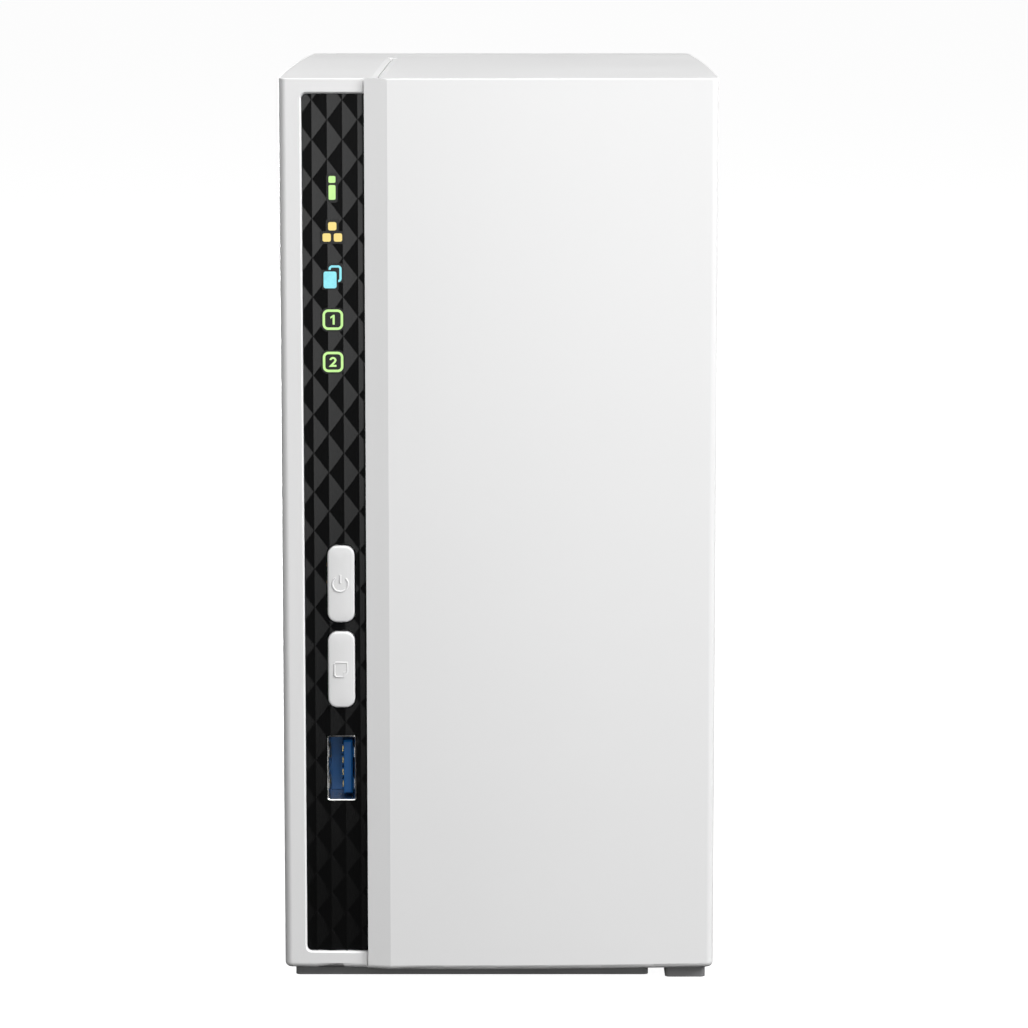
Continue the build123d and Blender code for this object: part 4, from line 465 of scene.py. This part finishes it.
def carve(mesh, cutter, operation):
    """Result of one boolean between two meshes, as a new mesh."""
    body = bpy.data.objects.new("carve_body", mesh)
    tool = bpy.data.objects.new("carve_tool", cutter)
    for thing in (body, tool):
        bpy.context.scene.collection.objects.link(thing)
    cut = body.modifiers.new("cut", "BOOLEAN")
    cut.operation = operation
    cut.solver = "EXACT"
    cut.use_self = True
    cut.object = tool
    bpy.context.view_layer.update()
    result = bpy.data.meshes.new_from_object(body.evaluated_get(bpy.context.evaluated_depsgraph_get()))
    for thing in (body, tool):
        bpy.data.objects.remove(thing)
    return result


def shade(mesh, angle):
    """Smooth shading, with edges over an angle left sharp."""
    mesh.shade_smooth()
    mesh.set_sharp_from_angle(angle=math.radians(angle))


# ---------------------------------------------------------------- faceted panel
FACET_COLUMN = 3.117       # between columns of corners
FACET_HALF = 4.025         # half of a facet's height
FACET_FIRST_X = -38.1
FACET_FIRST_Z = 183.73
FACET_DEPTH = 0.5
FACET_COLUMNS = range(-1, 6)    # of ridges, past both sides of the panel
FACET_STEPS = range(-2, 48)     # half-facets down, past its top and its foot

relief = bmesh.new()
corners = {}


def facet_corner(column, step, level):
    """Corner of the facets at a column and half-facet step: level 0 is a valley, 1 a ridge end."""
    key = (column, step, level)
    if key not in corners:
        x = FACET_FIRST_X + column * FACET_COLUMN
        z = FACET_FIRST_Z - step * FACET_HALF
        corners[key] = relief.verts.new((x, PANEL_FRONT + FACET_DEPTH * (1 - level), z))
    return corners[key]


def edge_middle(a, b):
    """Where the facets on both sides of the slanting edge between two corners are level."""
    return facet_corner((a[0] + b[0]) / 2, (a[1] + b[1]) / 2, 0.5)


# Each facet is half of a rhombus: it falls from the upright ridge in its middle to its outer corner,
# so along a slanting edge it starts above its neighbour and ends below it.
for column in FACET_COLUMNS:
    for step in FACET_STEPS:
        if (column + step) % 2:
            continue
        top, bottom = (column, step), (column, step + 2)
        for side in (-1, 1):
            tip = (column + side, step + 1)
            relief.faces.new(
                (
                    facet_corner(*top, 1),
                    edge_middle(top, tip),
                    facet_corner(*tip, 0),
                    edge_middle(tip, bottom),
                    facet_corner(*bottom, 1),
                )
            )
# A triangle closes the step that each end of a slanting edge leaves between the two facets.
slants = {
    frozenset(((c, k), (c + side, k + 1)))
    for c in range(FACET_COLUMNS.start - 1, FACET_COLUMNS.stop + 1)
    for k in range(FACET_STEPS.start, FACET_STEPS.stop + 1)
    for side in (-1, 1)
    if (c + k) % 2 == 0
}
for slant in slants:
    a, b = sorted(slant)
    for end in (a, b):
        if (*end, 0) in corners and (*end, 1) in corners:
            middle = ((a[0] + b[0]) / 2, (a[1] + b[1]) / 2, 0.5)
            if middle in corners:
                relief.faces.new((facet_corner(*end, 0), facet_corner(*end, 1), corners[middle]))
bmesh.ops.recalc_face_normals(relief, faces=relief.faces[:])
grown = bmesh.ops.extrude_face_region(relief, geom=relief.faces[:])
for item in grown["geom"]:
    if isinstance(item, bmesh.types.BMVert):
        item.co.y = PANEL_BACK
relief_mesh = mesh_from(relief, "relief")

outline = bmesh.new()
add_prism(
    outline,
    round_rect(
        sum(PANEL_X) / 2,
        sum(PANEL_Z) / 2,
        PANEL_X[1] - PANEL_X[0] - 0.2,
        PANEL_Z[1] - PANEL_Z[0] - 0.2,
        PANEL_CORNER,
    ),
    PANEL_FRONT - 1.0,
    PANEL_BACK - 0.001,
)
relief_mesh = carve(relief_mesh, mesh_from(outline, "outline"), "INTERSECT")

# Dark surround of each icon: the icon's outline, grown.
SURROUND_BACK = PANEL_FRONT + 0.5
SURROUND_FRONT = PANEL_FRONT + 0.05
STATUS_SURROUND = (2.3, 6.0, 0.6)       # width, height and corner radius
DRIVE_SURROUND = (4.9, 4.9, 1.4)
NETWORK_OUTLINE = (
    (-1.3, 2.45), (1.3, 2.45), (1.3, 0.15), (2.45, 0.15),
    (2.45, -2.45), (-2.45, -2.45), (-2.45, 0.15), (-1.3, 0.15),
)
COPY_OUTLINE = (
    (-0.95, 2.75), (1.9, 2.75), (2.25, 2.4), (2.25, -1.2), (1.2, -1.2),
    (1.2, -2.6), (-2.15, -2.6), (-2.15, 1.4), (-1.2, 1.4),
)
SURROUNDS = [
    round_rect(ICON_X, STATUS_Z - 0.05, *STATUS_SURROUND, 5),
    [(ICON_X + x, NETWORK_Z + z) for x, z in NETWORK_OUTLINE],
    [(ICON_X + x, COPY_Z + z) for x, z in COPY_OUTLINE],
    *(round_rect(ICON_X, z, *DRIVE_SURROUND, 6) for z in DRIVE_Z),
]
holes = bmesh.new()
for z in BUTTON_Z.values():
    width, height = BUTTON[0] + 2 * BUTTON_GAP, BUTTON[1] + 2 * BUTTON_GAP
    slot = round_rect(BUTTON_X, z, width, height, BUTTON[2] + BUTTON_GAP)
    add_prism(holes, slot, PANEL_FRONT - 1, PANEL_BACK + 1)
mouth_hole = round_rect(USB_X, USB_Z, USB[0] + 2 * USB_GAP, USB[1] + 2 * USB_GAP, 0.25, 3)
add_prism(holes, mouth_hole, PANEL_FRONT - 1, PANEL_BACK + 1)
for surround in SURROUNDS:
    add_prism(holes, surround, PANEL_FRONT - 1, SURROUND_BACK)
panel_mesh = carve(relief_mesh, mesh_from(holes, "holes"), "DIFFERENCE")
shade(panel_mesh, 3.0)
panel = new_piece("faceted_panel", panel_mesh, "black_panel", "chassis")
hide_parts("led_panel")

surrounds = bmesh.new()
for surround in SURROUNDS:
    add_prism(surrounds, surround, SURROUND_FRONT, SURROUND_BACK)
new_piece("icon_surrounds", mesh_from(surrounds, "icon_surrounds"), "black_panel", "chassis")

# ---------------------------------------------------------------- front buttons
BUTTON_FRONT = -76.56
BUTTON_REAR = -71.6
BUTTON_EDGE = 0.38          # radius round a button's face
BUTTON_CROWN = 0.12         # how far the middle of the face stands out
BUTTON_INSETS = (0.0, 0.03, 0.08, 0.15, 0.25, 0.37, 0.55, 0.8, 1.1, 1.4, 1.7, 2.0, 2.3, 2.55, 2.7)
SYMBOL_WIDTH = 0.42
SYMBOL_RAISE = 0.13
POWER_RADIUS = 1.62
LINE_SIDES = 10


def button_face(inset):
    """Depth of a button's skin at an inset from its outline."""
    half = BUTTON[0] / 2
    swell = BUTTON_CROWN * (1 - (1 - min(inset, half) / half) ** 2)
    curl = 0.0
    if inset < BUTTON_EDGE:
        curl = BUTTON_EDGE - math.sqrt(BUTTON_EDGE**2 - (BUTTON_EDGE - inset) ** 2)
    return BUTTON_FRONT + BUTTON_CROWN - swell + curl


def add_line(bm, path, width, raise_by, face, closed=False):
    """Adds a raised rounded line along a path of (x, z) points, on a skin whose depth is face(x, z)."""
    rings, count = [], len(path)
    for k, (x, z) in enumerate(path):
        a = path[k - 1] if closed or k else path[k]
        b = path[(k + 1) % count] if closed or k < count - 1 else path[k]
        dx, dz = b[0] - a[0], b[1] - a[1]
        length = math.hypot(dx, dz)
        nx, nz = -dz / length, dx / length
        ring = []
        for step in range(LINE_SIDES):
            angle = math.tau * step / LINE_SIDES
            across, out = width / 2 * math.cos(angle), raise_by * math.sin(angle)
            px, pz = x + nx * across, z + nz * across
            ring.append((px, face(px, pz) - out, pz))
        rings.append(ring)
    if closed:
        add_loop(bm, rings)
    else:
        add_rings(bm, rings)


def symbol_paths(name):
    """Paths of a button's symbol, each with whether it closes on itself."""
    if name == "power":
        x, z = BUTTON_X - 0.15, BUTTON_Z[name] + 0.1
        turns = [math.radians(angle) for angle in range(128, 413, 12)]
        ring = [(x + POWER_RADIUS * math.cos(turn), z + POWER_RADIUS * math.sin(turn)) for turn in turns]
        return [(ring, False), ([(x, z + 1.85), (x, z + 1.0), (x, z + 0.2)], False)]
    x, z = BUTTON_X - 0.1, BUTTON_Z[name]
    sheet = [
        (-1.35, -1.1), (-1.35, 1.15), (-1.0, 1.55), (1.3, 1.55), (1.3, -0.35), (0.55, -1.45), (-1.0, -1.45),
    ]
    fold = [(1.3, -0.35), (0.75, -0.55), (0.55, -1.45)]
    return [([(x + a, z + b) for a, b in sheet], True), ([(x + a, z + b) for a, b in fold], False)]


def face_under(x, z):
    """Depth of a button's skin at a point, away from its rounded ends."""
    return button_face(BUTTON[0] / 2 - abs(x - BUTTON_X))


for name, z in BUTTON_Z.items():
    cap = bmesh.new()
    rings = [[(px, BUTTON_REAR, pz) for px, pz in round_rect(BUTTON_X, z, *BUTTON, 10)]]
    for inset in BUTTON_INSETS:
        radius = max(0.06, BUTTON[2] - inset)
        shape = round_rect(BUTTON_X, z, BUTTON[0] - 2 * inset, BUTTON[1] - 2 * inset, radius, 10)
        rings.append([(px, button_face(inset), pz) for px, pz in shape])
    add_rings(cap, rings)
    cap_mesh = mesh_from(cap, "cap")
    marks = bmesh.new()
    for path, closed in symbol_paths(name):
        add_line(marks, path, SYMBOL_WIDTH, SYMBOL_RAISE, face_under, closed)
    cap_mesh = carve(cap_mesh, mesh_from(marks, "marks"), "UNION")
    shade(cap_mesh, 35.0)
    cap_piece = new_piece(f"{name}_button_cap", cap_mesh, "white_button", f"{name}_button")
    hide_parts(f"{name}_button")

# ---------------------------------------------------------------- front socket
# Folded steel shell: rolled mouth with rounded corners, and two pressed spring fingers on each long wall.
USB_SKIN = 0.36
USB_DEEP = 15.0


def socket_outline(grow, corner):
    """Outline of the socket's mouth, grown on every side."""
    return round_rect(USB_X, USB_Z, USB[0] + 2 * grow, USB[1] + 2 * grow, corner, 4)


# (growth of the mouth's outline, depth, corner radius) round the section of the wall
shell = bmesh.new()
profile = (
    (-0.14, PANEL_FRONT + 0.3, 0.5),
    (-0.02, PANEL_FRONT + 0.08, 0.55),
    (-0.1, PANEL_FRONT - 0.02, 0.5),
    (-0.28, PANEL_FRONT + 0.02, 0.45),
    (-0.4, PANEL_FRONT + 0.45, 0.4),
    (-USB_SKIN - 0.05, PANEL_FRONT + USB_DEEP, 0.4),
    (-0.14, PANEL_FRONT + USB_DEEP, 0.5),
)
loops = [[(x, y, z) for x, z in socket_outline(grow, corner)] for grow, y, corner in profile]
add_loop(shell, loops)
shell_mesh = mesh_from(shell, "shell")
shade(shell_mesh, 40.0)
shell_piece = new_piece("front_socket_shell", shell_mesh, "socket_steel", "chassis")
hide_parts("front_usb_shell")

SPRING_THICKNESS = 0.2
SPRING_RISE = 3.3           # middle of the socket to the middle of each spring
SPRING_WALL = 0.42          # from the mouth's outline in to where a spring leaves the wall
SPRING_HALF = 1.25
SPRING_TIP_HALF = 0.95
SPRING_PROFILE = ((0.25, 0.05), (0.9, 0.32), (2.6, 0.5), (5.2, 0.12), (6.0, 0.0))   # (depth, bend inwards)
springs = bmesh.new()
for side in (-1, 1):
    for rise in (-SPRING_RISE, SPRING_RISE):
        wall = USB_X + side * (USB[0] / 2 - SPRING_WALL)
        strip = []
        for depth, inwards in SPRING_PROFILE:
            x = wall - side * inwards
            y = PANEL_FRONT + depth
            half = SPRING_HALF if depth > 0.5 else SPRING_TIP_HALF
            low_z, high_z = USB_Z + rise - half, USB_Z + rise + half
            outer = x + side * SPRING_THICKNESS
            strip.append([(x, y, low_z), (x, y, high_z), (outer, y, high_z), (outer, y, low_z)])
        add_rings(springs, strip)
springs_mesh = mesh_from(springs, "springs")
new_piece("front_socket_springs", springs_mesh, "socket_steel", "chassis")

TONGUE_X = (-32.435, -30.535)
TONGUE_HALF = 5.6
HEEL = (5.2, 12.85, 0.3)    # width, height and corner radius of the block behind the tongue
tongue = bmesh.new()
mouth = PANEL_FRONT + 1.2
strip = []
for depth, taper in ((0.0, 0.35), (0.45, 0.0), (12.5, 0.0)):
    low_x, high_x = TONGUE_X[0] + taper * 0.5, TONGUE_X[1] - taper
    half = TONGUE_HALF - taper
    y, low_z, high_z = mouth + depth, USB_Z - half, USB_Z + half
    strip.append([(low_x, y, low_z), (low_x, y, high_z), (high_x, y, high_z), (high_x, y, low_z)])
add_rings(tongue, strip)
heel = round_rect(USB_X, USB_Z, *HEEL, 3)
add_prism(tongue, heel, PANEL_FRONT + 9.0, PANEL_FRONT + 13.6)
RIB_PITCH = 2.5
RIB_SPAN = (0.72, 0.95)     # from the middle of a contact to the near and far side of its ribs
RIB_HEIGHT = 0.35
for step in (-1.5, -0.5, 0.5, 1.5):
    z = USB_Z + step * RIB_PITCH
    for low_z, high_z in ((z - RIB_SPAN[1], z - RIB_SPAN[0]), (z + RIB_SPAN[0], z + RIB_SPAN[1])):
        rib_x = TONGUE_X[0] - RIB_HEIGHT
        rib = [(rib_x, low_z), (TONGUE_X[0], low_z), (TONGUE_X[0], high_z), (rib_x, high_z)]
        add_prism(tongue, rib, mouth + 0.9, mouth + 8.0)
tongue_mesh = mesh_from(tongue, "tongue")
tongue_piece = new_piece("front_socket_tongue", tongue_mesh, "socket_blue", "chassis")
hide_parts("front_usb_tongue")
